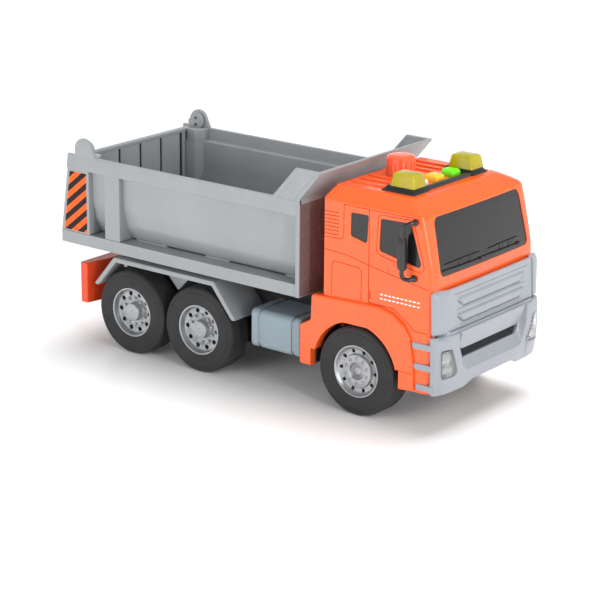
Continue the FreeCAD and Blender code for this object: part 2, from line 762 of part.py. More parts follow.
def fasteners():
    """Four self-tapping screws up through the tray and one through the battery door."""
    screws = []
    for number, (x, y) in enumerate(screw_places()):
        head = rod(f"head_{number}", "Z", (x, y, "tray_bottom - screw_head_thick"), "screw_head",
                   "screw_head_thick")
        shank = rod(f"shank_{number}", "Z", (x, y, "tray_bottom"), "screw_radius", "screw_length")
        screws.append(fuse(f"screw_{number}", head, shank))
    keep("chassis_screws", fuse("chassis_screws", *screws))


def power():
    """Two cells over a screwed door, between sprung contact plates."""
    for side, sign in SIDES:
        middle = f"cell_y * {sign}"
        can = rod(f"cell_can_{side}", "X", ("cell_x", middle, "cell_z"), "cell_radius", "cell_length - 1")
        nub = rod(f"cell_nub_{side}", "X", ("cell_x + cell_length - 1", middle, "cell_z"),
                  "cell_radius * nub_share", "1")
        keep(f"battery_cell_{side}", fuse(f"battery_cell_{side}", can, nub))
    plates = [block(f"contact_{number}", (x, "-cell_y - cell_radius * plate_share",
                                          "cell_z - cell_radius * plate_share"),
                     ("contact_thick", "(cell_y + cell_radius * plate_share) * 2",
                      "cell_radius * plate_share * 2"))
              for number, x in enumerate(("cell_x - contact_thick", "cell_x + cell_length"))]
    keep("battery_contacts", fuse("battery_contacts", *plates))
    door = block("door_plate", ("well_rear + clearance", "-well_half + clearance", "frame_bottom"),
                 ("well_length - clearance * 2", "(well_half - clearance) * 2", "frame_wall"))
    hole = rod("door_hole", "Z", ("well_rear + well_length - door_screw_in", "0", "frame_bottom - 1"),
               "screw_radius", "frame_wall + 2")
    sink = rod("door_sink", "Z", ("well_rear + well_length - door_screw_in", "0", "frame_bottom - 1"),
               "screw_head", "2")
    keep("battery_door", cut("battery_door", door, hole, sink))
    head = rod("door_screw_head", "Z", ("well_rear + well_length - door_screw_in", "0", "frame_bottom"),
               "screw_head", "1")
    shank = rod("door_screw_shank", "Z", ("well_rear + well_length - door_screw_in", "0",
                                          "frame_bottom + 1"), "screw_radius", "door_screw_long")
    keep("battery_door_screw", fuse("battery_door_screw", head, shank))


def mudguards():
    """A bent strip over the tandem wheels, with a gusset between them."""
    outline = [("flap_rear_x", "flap_rear_z"), ("guard_rear_x", "guard_top"), ("guard_front_x", "guard_top"),
               ("flap_front_x", "flap_front_z"), ("flap_front_x - flap_thick", "flap_front_z"),
               ("guard_front_x - guard_inset", "guard_top - guard_thick"),
               ("guard_rear_x + guard_inset", "guard_top - guard_thick"),
               ("flap_rear_x + flap_thick", "flap_rear_z")]
    strip = prism("mudguard_strip", "XZ_Plane", outline, "-guard_outer", "guard_outer - frame_half")
    gusset = prism("mudguard_gusset", "XZ_Plane",
                   [("gusset_x - gusset_half", "guard_top - guard_thick"), ("gusset_x", "gusset_z"),
                    ("gusset_x + gusset_half", "guard_top - guard_thick")],
                   "-gusset_outer", "gusset_outer - frame_half")
    right = fuse("rear_fender_right", strip, gusset)
    keep("rear_fender_right", right)
    keep("rear_fender_left", mirror("rear_fender_left", right))


def fuel_tanks():
    """A rounded tank with two strap grooves on each side."""
    def section(name, start, end, inset):
        low = f"tank_bottom + {inset}"
        high = f"tank_top - {inset}"
        far = f"-tank_outer + {inset}"
        body = prism(name, "YZ_Plane", [("-frame_half", low), ("-frame_half", high), (far, high), (far, low)],
                     start, f"({end}) - ({start})")
        outer = float(SHEET.tank_outer) - 2
        return round_edges(body, "tank_round",
                           lambda edge: runs_along(edge, "X") and edge.BoundBox.YMax < -outer)

    core = section("tank_core", "tank_rear + tank_inset", "tank_front - tank_inset", "tank_inset")
    spans = (("tank_rear", "strap_rear"), ("strap_rear + strap_width", "strap_front"),
             ("strap_front + strap_width", "tank_front"))
    shells = [section(f"tank_span_{number}", start, end, "0") for number, (start, end) in enumerate(spans)]
    right = fuse("fuel_tank_right", core, *shells)
    keep("fuel_tank_right", right)
    keep("fuel_tank_left", mirror("fuel_tank_left", right))


def rear_bumper():
    """The beam behind the rear wheels, thicker beside the chassis."""
    half_outline = [("beam_rear", "beam_half"), ("beam_end", "beam_half"), ("beam_middle", "beam_knee"),
                    ("beam_middle", "frame_half"), ("frame_tail", "frame_half")]
    outline = half_outline + [(x, f"-{y}") for x, y in reversed(half_outline)]
    beam = prism("rear_bumper", "XY_Plane", outline, "beam_bottom", "beam_top - beam_bottom")
    round_edges(beam, "beam_round", lambda edge: runs_along(edge,
                                                            "Z") and abs(edge.BoundBox.YMax) > BEAM_SIDE)
    keep("rear_bumper", beam)


# Tipper

def both_sides(points):
    """A left half outline continued with its mirror image."""
    return points + [(f"-({y})", z) for y, z in reversed(points)]


def tipper_tub():
    """The load tub: curved sides, box rails, posts, headboard, cab guard and ears."""
    hull = prism("tub_hull", "YZ_Plane", both_sides([
        ("hull_floor_half", "sill_top"), ("hull_mid_half", "hull_mid_z"), ("hull_half", "hull_knee_z"),
        ("hull_half", "rail_bottom"), ("rail_half", "rail_bottom"), ("rail_half", "tub_top")]),
        "sill_rear", "tub_front - head_thick - sill_rear")
    posts = []
    for side, sign in SIDES:
        near = "hull_floor_half" if sign > 0 else "-post_half"
        posts.append(block(f"rib_post_{side}", ("rib_rear", near, "sill_top"),
                           ("rib_front - rib_rear", "post_half - hull_floor_half", "rail_bottom - sill_top")))
        posts.append(block(f"rear_post_{side}", ("sill_rear", near, "sill_top"),
                           ("post_front - sill_rear", "post_half - hull_floor_half",
                            "rail_bottom - sill_top")))
    cavity = prism("tub_cavity", "YZ_Plane", both_sides([
        ("hull_floor_half - tub_wall", "sill_top + tub_wall"), ("hull_mid_half - tub_wall", "hull_mid_z"),
        ("hull_half - tub_wall", "hull_knee_z"), ("hull_half - tub_wall", "rail_bottom + tub_wall"),
        ("rail_half - tub_wall", "rail_bottom + tub_wall"), ("rail_half - tub_wall", "tub_top + 1")]),
        "sill_rear - 1", "tub_front - head_thick - sill_rear + 1")
    channel = cut("tub_channel", fuse("tub_outside", hull, *posts), cavity)
    jambs = []
    for side, sign in SIDES:
        near = "post_inner" if sign > 0 else "-post_half"
        jambs.append(block(f"jamb_{side}", ("sill_rear", near, "sill_top + tub_wall"),
                           ("post_front - sill_rear", "post_half - post_inner", "rail_bottom - sill_top")))
    head = block("headboard", ("tub_front - head_thick", "-rail_half", "sill_bottom"),
                 ("head_thick", "rail_half * 2", "head_top - sill_bottom"))
    sheet = prism("cab_guard", "XZ_Plane",
                  [("tub_front", "head_top"), ("canopy_tip", "canopy_top"),
                   ("canopy_tip - head_thick", "canopy_top"), ("tub_front - head_thick", "head_top")],
                  "-rail_half", "rail_half * 2")
    slope = prism("tail_slope", "XZ_Plane",
                  [("sill_rear - 1", "sill_top"), ("sill_rear", "sill_top"), ("tub_rear_top", "tub_top"),
                   ("tub_rear_top", "canopy_top"), ("sill_rear - 1", "canopy_top")],
                  "-rail_half - 1", "rail_half * 2 + 2")
    sides = []
    for side, sign in SIDES:
        wing_near = "rail_half - tub_wall" if sign > 0 else "-rail_half"
        sides.append(prism(f"wing_{side}", "XZ_Plane",
                           [("canopy_foot", "tub_top"), ("canopy_corner", "canopy_top"),
                            ("canopy_tip", "canopy_top"), ("tub_front", "head_top"),
                            ("tub_front", "tub_top - tub_wall"), ("canopy_foot", "tub_top - tub_wall")],
                           wing_near, "tub_wall"))
        sides.append(ear(f"ear_{side}", "rail_half - ear_thick" if sign > 0 else "-rail_half"))
    body = fuse("tub_joined", channel, *jambs, head, sheet, *sides)
    step = block("floor_step", ("sill_rear - 1", "-hull_floor_half", "sill_top + tub_wall - bed_step"),
                 ("bed_rear - sill_rear + 1", "hull_floor_half * 2", "bed_step"))
    pivot = rod("ear_bore", "Y", ("ear_x", "-rail_half - 1", "ear_z"), "trunnion_radius + fit",
                "rail_half * 2 + 2")
    keep("tipper_tub", cut("tipper_tub", body, slope, step, pivot))


def ear(name, near):
    """A rounded lug on top of the rail for the tailgate's trunnion."""
    web = prism(name + "_web", "XZ_Plane",
                [("ear_rear", "tub_top - tub_wall"), ("ear_front", "tub_top - tub_wall"),
                 ("ear_front", "tub_top"), ("ear_x + ear_radius * ear_wide", "ear_z + ear_radius * ear_neck"),
                 ("ear_x - ear_radius * ear_wide", "ear_z + ear_radius * ear_neck"), ("ear_rear", "tub_top")],
                near, "ear_thick")
    eye = rod(name + "_eye", "Y", ("ear_x", near, "ear_z"), "ear_radius", "ear_thick")
    return fuse(name, web, eye)


def tipper_base():
    """The sill frame under the tub, hollow from below, with two hinge lugs."""
    plate = block("base_plate", ("sill_rear", "-sill_half", "sill_bottom"),
                  ("tub_front - head_thick - sill_rear", "sill_half * 2", "sill_top - sill_bottom"))
    lip = block("base_lip", ("-nose_x", "-sill_half + 3", "sill_bottom + 2"),
                ("2", "sill_half * 2 - 6", "2.4"))
    pockets = []
    for side, sign in SIDES:
        near = "lug_outer + 1" if sign > 0 else "-sill_half + sill_wall"
        pockets.append(block(f"base_pocket_{side}", ("sill_rear + sill_wall", near, "sill_bottom - 1"),
                             ("tub_front - head_thick - sill_rear - sill_wall * 2",
                              "sill_half - sill_wall - lug_outer - 1",
                              "sill_top - sill_bottom - sill_deck + 1")))
    lugs = []
    for number, near in enumerate(("base_lug_inner", "-lug_inner + clearance")):
        lugs.append(rod(f"base_eye_{number}", "Y", ("pin_x", near, "pin_z"), "lug_radius - clearance",
                        "lug_inner - base_lug_inner - clearance"))
        lugs.append(block(f"base_web_{number}", ("pin_x - lug_radius + clearance", near, "pin_z"),
                          ("(lug_radius - clearance) * 2", "lug_inner - base_lug_inner - clearance",
                           "sill_bottom - pin_z + 0.5")))
    bore = rod("base_bore", "Y", ("pin_x", "-lug_outer", "pin_z"), "pin_radius + fit", "lug_outer * 2")
    keep("tipper_base", cut("tipper_base", fuse("base_joined", plate, lip, *lugs), bore, *pockets))


def tailgate():
    """The ribbed gate that hangs from two trunnions."""
    outline = both_sides([("gate_foot_half", "gate_foot"), ("gate_half", "gate_knee"),
                          ("gate_half", "gate_step"),
                          ("rail_half - ear_thick - clearance", "gate_step"),
                          ("rail_half - ear_thick - clearance", "tub_top")])
    plate = prism("gate_plate", "YZ_Plane", outline, "gate_rear", "gate_front - gate_rear")
    grooves = [block(f"gate_groove_{number}",
                     ("gate_front - gate_groove", f"groove_pitch * {number - 2} - groove_width / 2",
                      "gate_foot + 6"),
                     ("gate_groove + 1", "groove_width", "tub_top - gate_foot"))
               for number in range(5)]
    ears = []
    for side, sign in SIDES:
        far = "rail_half - ear_thick - clearance"
        near = f"{far} - gate_ear" if sign > 0 else f"-({far})"
        ears.append(rod(f"gate_eye_{side}", "Y", ("ear_x", near, "ear_z"), "ear_radius - 1", "gate_ear"))
        ears.append(block(f"gate_arm_{side}", ("gate_rear", near, "tub_top - 1"),
                          ("ear_x - gate_rear", "gate_ear", "ear_z + ear_radius - gate_ear_short - tub_top")))
        start = f"{far} - 1" if sign > 0 else "-rail_half"
        ears.append(rod(f"trunnion_{side}", "Y", ("ear_x", start, "ear_z"), "trunnion_radius",
                        "ear_thick + clearance + 1"))
    keep("tailgate", fuse("tailgate", cut("gate_grooved", plate, *grooves), *ears))


def hazard_decals():
    """A thin printed sticker on each rear post."""
    outline = [("sill_rear + decal_in", "sill_top + decal_foot"), ("decal_front", "sill_top + decal_foot"),
               ("decal_front", "rail_bottom - decal_head"),
               ("tub_rear_top + decal_edge", "rail_bottom - decal_head")]
    right = prism("decal_right", "XZ_Plane", outline, "-post_half - decal_thick", "decal_thick")
    keep("hazard_decals", fuse("hazard_decals", right, mirror("decal_left", right)))


# Cab

def cab_section(name, z, front, half, inset):
    """One level outline of the cab."""
    sketch = DOC.addObject("Sketcher::SketchObject", name)
    corner = [("1", "0"), ("0.45", "0.12"), ("0.12", "0.45"), ("0", "1")]
    side = f"({half}) - ({inset})"
    nose = f"({front}) - ({inset})"
    right = [(f"{nose} - cab_corner * {back}", f"-({side}) + cab_corner * {inward}") for back,
             inward in corner]
    left = [(f"{nose} - cab_corner * {back}", f"{side} - cab_corner * {inward}") for back,
            inward in reversed(corner)]
    tail = [(f"cab_rear + ({inset})", side), (f"cab_rear + ({inset})", f"-({side})")]
    draw(sketch, right + left + tail)
    move(sketch, ("0", "0", z))
    return sketch


def cab_volume(name, inset, foot="cab_bottom"):
    """The cab's outer form, or the same form moved inwards by inset."""
    levels = ((foot, "cab_front", "cab_half"), ("cab_belt", "cab_front", "cab_half"),
              ("cab_brow", "cab_brow_x", "cab_half"), ("cab_eave", "cab_eave_x", "cab_half"),
              (f"cab_roof - ({inset})", "cab_roof_x", "cab_roof_half"))
    loft = DOC.addObject("Part::Loft", name)
    loft.Sections = [cab_section(f"{name}_{number}", z, front, half, inset)
                     for number, (z, front, half) in enumerate(levels)]
    loft.Solid = True
    loft.Ruled = True
    return loft


def screen_outline(shrink):
    """The windscreen seen from the front."""
    return both_sides([(f"screen_half - {shrink}", f"cab_belt + {shrink}"),
                       (f"screen_top_half - {shrink}", f"cab_brow - {shrink}")])


def side_windows(name, shrink, near, depth):
    """The rear side window and the door window, seen from the side."""
    quarter = prism(name + "_quarter", "XZ_Plane",
                    [(f"quarter_rear + {shrink}", f"quarter_foot + {shrink}"),
                     (f"quarter_front - {shrink}", f"quarter_foot + {shrink}"),
                     (f"quarter_front - {shrink}", f"glass_top - {shrink}"),
                     (f"quarter_rear + {shrink}", f"glass_top - {shrink}")], near, depth)
    door = prism(name + "_door", "XZ_Plane",
                 [(f"door_glass_rear + {shrink}", f"door_foot_rear + {shrink}"),
                  (f"door_glass_front - {shrink}", f"door_foot + {shrink}"),
                  (f"door_glass_head - {shrink}", f"glass_top - {shrink}"),
                  (f"door_glass_rear + {shrink}", f"glass_top - {shrink}")], near, depth)
    return fuse(name, quarter, door)


def arch_void(name, radius, top, near, depth):
    """The round wheel arch with its flat top."""
    disc = rod(name + "_disc", "Y", ("front_axle_x", near, "tyre_radius"), radius, depth)
    limit = block(name + "_limit", ("front_axle_x - arch_radius * 2", near, "0"),
                  ("arch_radius * 4", depth, top))
    return common(name, disc, limit)


def wheel_arches():
    """The flared wheel arches with their liners, as one shape per side."""
    outline = [("flare_leg_rear", "flare_bottom"), ("flare_leg_rear", "flare_leg_top"),
               ("flare_step_x", "flare_step_z"), ("flare_step_x", "flare_top"),
               ("flare_shoulder_x", "flare_top"),
               ("flare_knee_x", "flare_knee_z"), ("flare_toe_x", "flare_bottom")]
    flare = prism("flare_right", "XZ_Plane", outline, "-flare_half", "flare_half - flare_inner")
    liner = arch_void("liner_right", "arch_radius + arch_liner", "arch_top + arch_liner",
                      "-flare_inner", "flare_inner - arch_inner")
    above = block("liner_room", ("cab_rear", "-flare_half", "tray_top"),
                  ("cab_front - cab_rear - cab_corner", "flare_half - arch_inner", "flare_top"))
    right = fuse("arch_right", flare, common("liner_upper", liner, above))
    return [right, mirror("arch_left", right)]


def cab_shell():
    """The orange cab moulding."""
    outside = cab_volume("cab_outside", "0")
    inside = cab_volume("cab_inside", "cab_wall", "cab_bottom - 1")
    walls = cut("cab_walls", outside, inside)
    ledges = [block(f"ledge_{number}", (x, "-tray_half", "tray_top"), ("ledge * 2", "tray_half * 2", "ledge"))
              for number, x in enumerate(("cab_rear + cab_wall / 2", "frame_front - ledge * 2"))]
    brackets = block("ledge_bracket", ("frame_front - ledge", "-tray_half", "tray_top"),
                     ("cab_front - frame_front + ledge - cab_wall / 2", "tray_half * 2", "ledge"))
    ribs = [block(f"roof_rib_{number}_{side}",
                  ("rib_x", f"(rib_first_y + rib_pitch * {number}) * {sign} - rib_width / 2",
                   "cab_roof - 0.5"),
                  ("rib_length", "rib_width", "rib_height + 0.5"))
            for number in range(TRIO) for side, sign in SIDES]
    solid = fuse("cab_solid", walls, *ledges, brackets, *ribs, *wheel_arches())
    voids = [arch_void(f"arch_void_{side}", "arch_radius", "arch_top",
                       "arch_inner" if sign > 0 else "-flare_half - 1", "flare_half + 1 - arch_inner")
             for side, sign in SIDES]
    screen = prism("screen_void", "YZ_Plane", screen_outline("0"), "cab_brow_x - cab_wall * 3",
                   "cab_corner * 3")
    windows = side_windows("window_void", "0", "-cab_half - 1", "cab_half * 2 + 2")
    tray_notch = block("tray_notch", ("cab_rear - 1", "-tray_half - clearance", "0"),
                       ("cab_wall + 1", "(tray_half + clearance) * 2", "tray_top"))
    holes = [rod(f"ledge_hole_{number}", "Z", (x, y, "tray_top - 1"), "screw_radius", "ledge + 2")
             for number, (x, y) in enumerate(screw_places())]
    keys = key_wells("key_hole")
    lamps = [rod(f"roof_hole_{number}", "Z", (x, y, "cab_eave"), "lamp_radius + clearance", "cab_roof")
             for number, (x, y) in enumerate(lamp_places())]
    keep("cab_shell", cut("cab_shell", solid, *voids, screen, windows, tray_notch, *holes, *keys, *lamps))


def key_wells(name):
    """The openings that the three buttons stand in."""
    return [block(f"{name}_{number}",
                  ("button_x - fit * 3", f"button_pitch * {number - 1} - button_width / 2 - fit * 3",
                   "cab_eave"),
                  ("button_length + fit * 6", "button_width + fit * 6", "cab_roof"))
            for number in range(TRIO)]


def lamp_places():
    """Where the soldered lamps stand under the beacon and the roof lenses."""
    middle = "(lens_inner + lens_outer) / 2"
    return [("beacon_x", "0"), ("(lens_rear + lens_front) / 2", middle),
            ("(lens_rear + lens_front) / 2", f"-{middle}")]


def glazing():
    """Smoked windows set just below the cab's surface."""
    skin = cut("glass_skin", cab_volume("glass_outside", "glass_inset"),
               cab_volume("glass_inside", "glass_inset + glass_thick", "cab_bottom - 1"))
    screen = prism("screen_pane", "YZ_Plane", screen_outline("fit"), "cab_brow_x - cab_wall * 3",
                   "cab_corner * 3")
    keep("windscreen", common("windscreen", skin, screen))
    panes = common("side_panes", skin, side_windows("pane_right", "fit", "-cab_half - 1", "cab_half"))
    flange = block("side_flange", ("quarter_rear - flange", "-cab_half + glass_inset + glass_thick",
                                   "quarter_foot"),
                   ("door_glass_head - quarter_rear + flange", "flange", "glass_top - quarter_foot"))
    right = fuse("side_glazing_right", panes, flange)
    keep("side_glazing_right", right)
    keep("side_glazing_left", mirror("side_glazing_left", right))


def front_panel():
    """The grey upper front with two embossed slats."""
    def plan(name, proud, bottom, height):
        half = [("panel_rear", "panel_half + panel_edge"), ("panel_side_x", "panel_half"),
                (f"panel_corner_x + {proud}", f"panel_corner_half + {proud} * panel_share"),
                (f"panel_front - panel_ease + {proud}", "panel_corner_half * panel_share")]
        return prism(name, "XY_Plane", half + [(x, f"-({y})") for x, y in reversed(half)], bottom, height)

    sheet = plan("panel_sheet", "0", "panel_bottom", "panel_top - panel_bottom")
    slats = []
    for number in range(2):
        top = f"slat_top - slat_pitch * {number}"
        face = prism(f"slat_face_{number}", "YZ_Plane",
                     both_sides([("slat_half - slat_taper", f"{top} - slat_drop"), ("slat_half", top)]),
                     "panel_rear", "nose_x - panel_rear")
        slab = plan(f"slat_slab_{number}", "slat_proud", "panel_bottom", "panel_top - panel_bottom")
        slats.append(common(f"slat_{number}", slab, face))
    keep("front_panel", cut("front_panel", fuse("panel_joined", sheet, *slats),
                            cab_volume("panel_seat", "0")))


def bumper_plan(name, inset, bottom, height):
    """The bumper seen from above, or the same outline moved inwards."""
    half = [("bumper_rear", f"bumper_half - ({inset})"), ("bumper_corner_x - 5", f"bumper_half - ({inset})"),
            (f"bumper_corner_x - ({inset})", f"bumper_corner - ({inset}) * bumper_share"),
            (f"bumper_cheek_x - ({inset})", "bumper_cheek"),
            (f"nose_x - ({inset})", "bumper_cheek * nose_share")]
    return prism(name, "XY_Plane", half + [(x, f"-({y})") for x, y in reversed(half)], bottom, height)


def lamp_outline(sign):
    """A headlamp seen from the front."""
    corners = (("lamp_outer", "lamp_top"), ("lamp_inner_top", "lamp_top - 1"), ("lamp_inner", "lamp_bottom"),
               ("lamp_outer", "lamp_bottom + lamp_rise"))
    return [(f"{y} * {sign}", z) for y, z in corners]


def front_bumper():
    """The grey bumper with its scoop, lamp pockets and side steps, and the parts it carries."""
    height = "panel_bottom - bumper_bottom"
    block_out = bumper_plan("bumper_outside", "0", "bumper_bottom", height)
    hollow = bumper_plan("bumper_inside", "bumper_wall", "bumper_bottom - 1", f"{height} - bumper_wall + 1")
    skin = cut("bumper_skin", block_out, hollow)
    scoop_face = both_sides([("scoop_half", "scoop_bottom"), ("scoop_top_half", "scoop_top")])
    pan_out = prism("scoop_pan", "YZ_Plane", both_sides([("scoop_half + 2", "scoop_bottom - 2"),
                                                         ("scoop_top_half + 2", "scoop_top + 2")]),
                    "cab_front", "bumper_cheek_x - cab_front - 1")
    scoop = prism("scoop_void", "YZ_Plane", scoop_face, "bumper_cheek_x - scoop_depth", "scoop_depth * 3")
    mesh_face = both_sides([("mesh_half", "mesh_bottom"), ("mesh_top_half", "mesh_top")])
    mesh_void = prism("mesh_void", "YZ_Plane", mesh_face, "bumper_rear", "nose_x - bumper_rear")
    chin = prism("chin_void", "YZ_Plane",
                 both_sides([("chin_foot", "bumper_bottom - 1"), ("chin_foot", "bumper_bottom"),
                                                      ("chin_half", "chin_top")]),
                 "bumper_rear", "nose_x - bumper_rear + 1")
    lamps = [prism(f"lamp_void_{side}", "YZ_Plane", lamp_outline(sign), "bumper_rear",
                   "nose_x - bumper_rear + 1")
             for side, sign in SIDES]
    steps = []
    for number in range(TRIO):
        start = f"step_rear - step_shift * {number}"
        for side, sign in SIDES:
            near = "bumper_half - 1" if sign > 0 else "-cab_half - step_proud"
            steps.append(block(f"step_{number}_{side}", (start, near, f"step_bottom + step_pitch * {number}"),
                               ("bumper_corner_x - step_end - step_rear",
                                "cab_half - bumper_half + 1 + step_proud",
                                "step_height")))
    seat_cab = cab_volume("bumper_seat", "0")
    body = fuse("bumper_joined", skin, pan_out, *steps)
    keep("front_bumper", cut("front_bumper", body, scoop, mesh_void, chin, *lamps, seat_cab))

    mesh = prism("bumper_mesh", "YZ_Plane", both_sides([("mesh_half - fit", "mesh_bottom + fit"),
                                                        ("mesh_top_half - fit", "mesh_top - fit")]),
                 "cab_front + fit", "mesh_thick")
    keep("bumper_mesh", mesh)
    glass = cut("lamp_glass", bumper_plan("lamp_outside", "glass_inset", "bumper_bottom", height),
                bumper_plan("lamp_inside", "bumper_wall", "bumper_bottom - 1", f"{height} + 2"))
    right = common("headlight_right", glass,
                   prism("lamp_face", "YZ_Plane", lamp_outline(-1), "bumper_corner_x - 8",
                         "nose_x - bumper_rear"))
    keep("headlight_right", right)
    keep("headlight_left", mirror("headlight_left", right))


def mirrors():
    """A tall mirror head on two short arms, each side."""
    head = prism("mirror_head", "XY_Plane",
                 [("mirror_x", "-mirror_outer"), ("mirror_x + mirror_length", "-mirror_outer"),
                  ("mirror_x + mirror_length", "-mirror_inner"), ("mirror_x", "-mirror_inner")],
                 "mirror_bottom", "mirror_top - mirror_bottom")
    round_edges(head, "mirror_round", lambda edge: runs_along(edge, "Z"))
    middle = "(mirror_inner + mirror_outer) / 2"
    stem = rod("mirror_stem", "Z", ("arm_x", f"-{middle}", "arm_bottom"), "arm_radius",
               "arm_top - arm_bottom")
    pegs = [rod(f"mirror_peg_{number}", "Y", ("arm_x", f"-{middle}", z), "arm_radius", f"{middle} - cab_half")
            for number, z in enumerate(("arm_top", "arm_bottom"))]
    ties = [rod(f"mirror_tie_{number}", "X", ("mirror_x + mirror_length - 1", f"-{middle}", z), "arm_radius",
                "arm_x - mirror_x - mirror_length + 1")
            for number, z in enumerate(("mirror_top - 2", "mirror_bottom + 2"))]
    right = fuse("mirror_right", head, stem, *pegs, *ties)
    keep("mirror_right", right)
    keep("mirror_left", mirror("mirror_left", right))


# Roof equipment

def rectangle(low_x, high_x, low_y, high_y):
    """Four corners of a plan rectangle."""
    return [(low_x, low_y), (high_x, low_y), (high_x, high_y), (low_x, high_y)]


def light_bar():
    """The black console: two bevelled pads, a narrow bar and the amber lenses."""
    pads = []
    for side, sign in SIDES:
        low = "bar_inner" if sign > 0 else "-bar_outer"
        pads.append(prism(f"pad_{side}", "XY_Plane",
                          rectangle("bar_rear", "bar_front", low, f"{low} + bar_outer - bar_inner"),
                          "cab_roof", "bar_height", "bar_bevel"))
    link = block("pad_link", ("link_rear", "-bar_inner - 2", "cab_roof"),
                 ("link_front - link_rear", "(bar_inner + 2) * 2", "link_height"))
    holes = [rod(f"pad_hole_{number}", "Z", (x, y, "cab_roof - 1"), "lamp_radius + clearance",
                 "bar_height + 2")
             for number, (x, y) in enumerate(lamp_places()[1:])]
    keep("light_bar", cut("light_bar", fuse("bar_joined", *pads, link), *holes, *key_wells("key_gap")))
    outer = prism("lens_solid", "XY_Plane",
                  rectangle("lens_rear", "lens_front", "-lens_outer", "-lens_inner"),
                  "cab_roof + bar_height", "lens_height", "lens_taper")
    inner = prism("lens_hollow", "XY_Plane",
                  rectangle("lens_rear + lens_wall", "lens_front - lens_wall", "-lens_outer + lens_wall",
                            "-lens_inner - lens_wall"),
                  "cab_roof + bar_height", "lens_height - lens_wall", "lens_taper")
    right = cut("amber_lens_right", outer, inner)
    keep("amber_lens_right", right)
    keep("amber_lens_left", mirror("amber_lens_left", right))


def beacon():
    """The translucent dome, hollow from below."""
    dome = cut("beacon_dome", rod("beacon_solid", "Z", ("beacon_x", "0", "cab_roof"), "beacon_radius",
                                  "beacon_top - cab_roof"),
               rod("beacon_hollow", "Z", ("beacon_x", "0", "cab_roof - 1"), "beacon_radius - beacon_wall",
                   "beacon_top - cab_roof - beacon_wall + 1"))
    keep("beacon_dome", dome)


def keypad():
    """Three push buttons over a rubber mat on the circuit board."""
    for number, colour in enumerate(("white", "yellow", "green")):
        low = f"button_pitch * {number - 1} - button_width / 2"
        cap = prism(f"cap_{colour}", "XY_Plane",
                    rectangle("button_x", "button_x + button_length", low, f"{low} + button_width"),
                    "button_foot", "button_top - button_foot")
        round_edges(cap, "button_round", lambda edge: runs_along(edge, "Z") or edge.BoundBox.ZMin > CAP_TOP)
        rim_plate = block(f"rim_{colour}",
                          ("button_x - button_flange", f"{low} - button_flange", "button_foot"),
                          ("button_length + button_flange * 2", "button_width + button_flange * 2",
                           "flange_top - button_foot"))
        keep(f"button_{colour}", fuse(f"button_{colour}", cap, rim_plate))
    mat = block("mat_plate", ("mat_rear", "-mat_half", "board_bottom + board_thick"),
                ("board_front - mat_rear", "mat_half * 2", "mat_thick"))
    board = block("board_plate", ("board_rear", "-board_half", "board_bottom"),
                  ("board_front - board_rear", "board_half * 2", "board_thick"))
    lamps = [rod(f"lamp_{number}", "Z", (x, y, "board_bottom + board_thick"), "lamp_radius", "lamp_height")
             for number, (x, y) in enumerate(lamp_places())]
    notches = [rod(f"mat_notch_{number}", "Z", (x, y, "board_bottom"), "lamp_radius + clearance",
                   "mat_thick * 3")
               for number, (x, y) in enumerate(lamp_places()[1:])]
    keep("keypad_membrane", cut("mat_notched", mat, *notches))
    keep("circuit_board", fuse("circuit_board", board, *lamps))


def speaker():
    """A small loudspeaker that faces down through the tray."""
    basket = rod("speaker_basket", "Z", ("speaker_x", "0", "tray_bottom + frame_wall"), "speaker_radius",
                 "speaker_height")
    magnet = rod("speaker_magnet", "Z", ("speaker_x", "0", "tray_bottom + frame_wall + speaker_height"),
                 "magnet_radius", "magnet_height")
    keep("speaker", fuse("speaker", basket, magnet))


def build():
    """Build every sub-part of the truck."""
    fill_sheet()
    wheel_set("front", "front_axle_x", False)
    wheel_set("middle", "middle_axle_x", True)
    wheel_set("rear", "rear_axle_x", True)
    friction_motor()
    chassis_frame()
    fasteners()
    power()
    mudguards()
    fuel_tanks()
    rear_bumper()
    tipper_tub()
    tipper_base()
    tailgate()
    hazard_decals()
    cab_shell()
    glazing()
    front_panel()
    front_bumper()
    mirrors()
    light_bar()
    beacon()
    keypad()
    speaker()
    DOC.recompute()


def check():
    """Stop if any object failed or any sub-part isn't a valid solid."""
    for item in DOC.Objects:
        if "Invalid" in item.State or "Error" in item.State:
            raise RuntimeError(f"{item.Name} failed: {item.State}")
    for item in PIECES:
        if item.Shape.isNull() or not item.Shape.isValid() or not item.Shape.Solids:
            raise RuntimeError(f"{item.Label} has no valid solid")


def export():
    """Write each sub-part to its own file."""
    os.makedirs("parts", exist_ok=True)
    for item in PIECES:
        item.Shape.exportStep(f"parts/{item.Label}.step")
        box = item.Shape.BoundBox
        print(f"{item.Label:22s} solids {len(item.Shape.Solids)} volume {item.Shape.Volume:9.1f}"
              f" x {box.XMin:7.1f} {box.XMax:7.1f} y {box.YMin:6.1f} {box.YMax:6.1f}"
              f" z {box.ZMin:6.1f} {box.ZMax:6.1f}")
    print(len(PIECES), "sub-parts")


build()
check()
export()
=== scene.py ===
import math

import bmesh
import bpy
from mathutils import Matrix, Vector


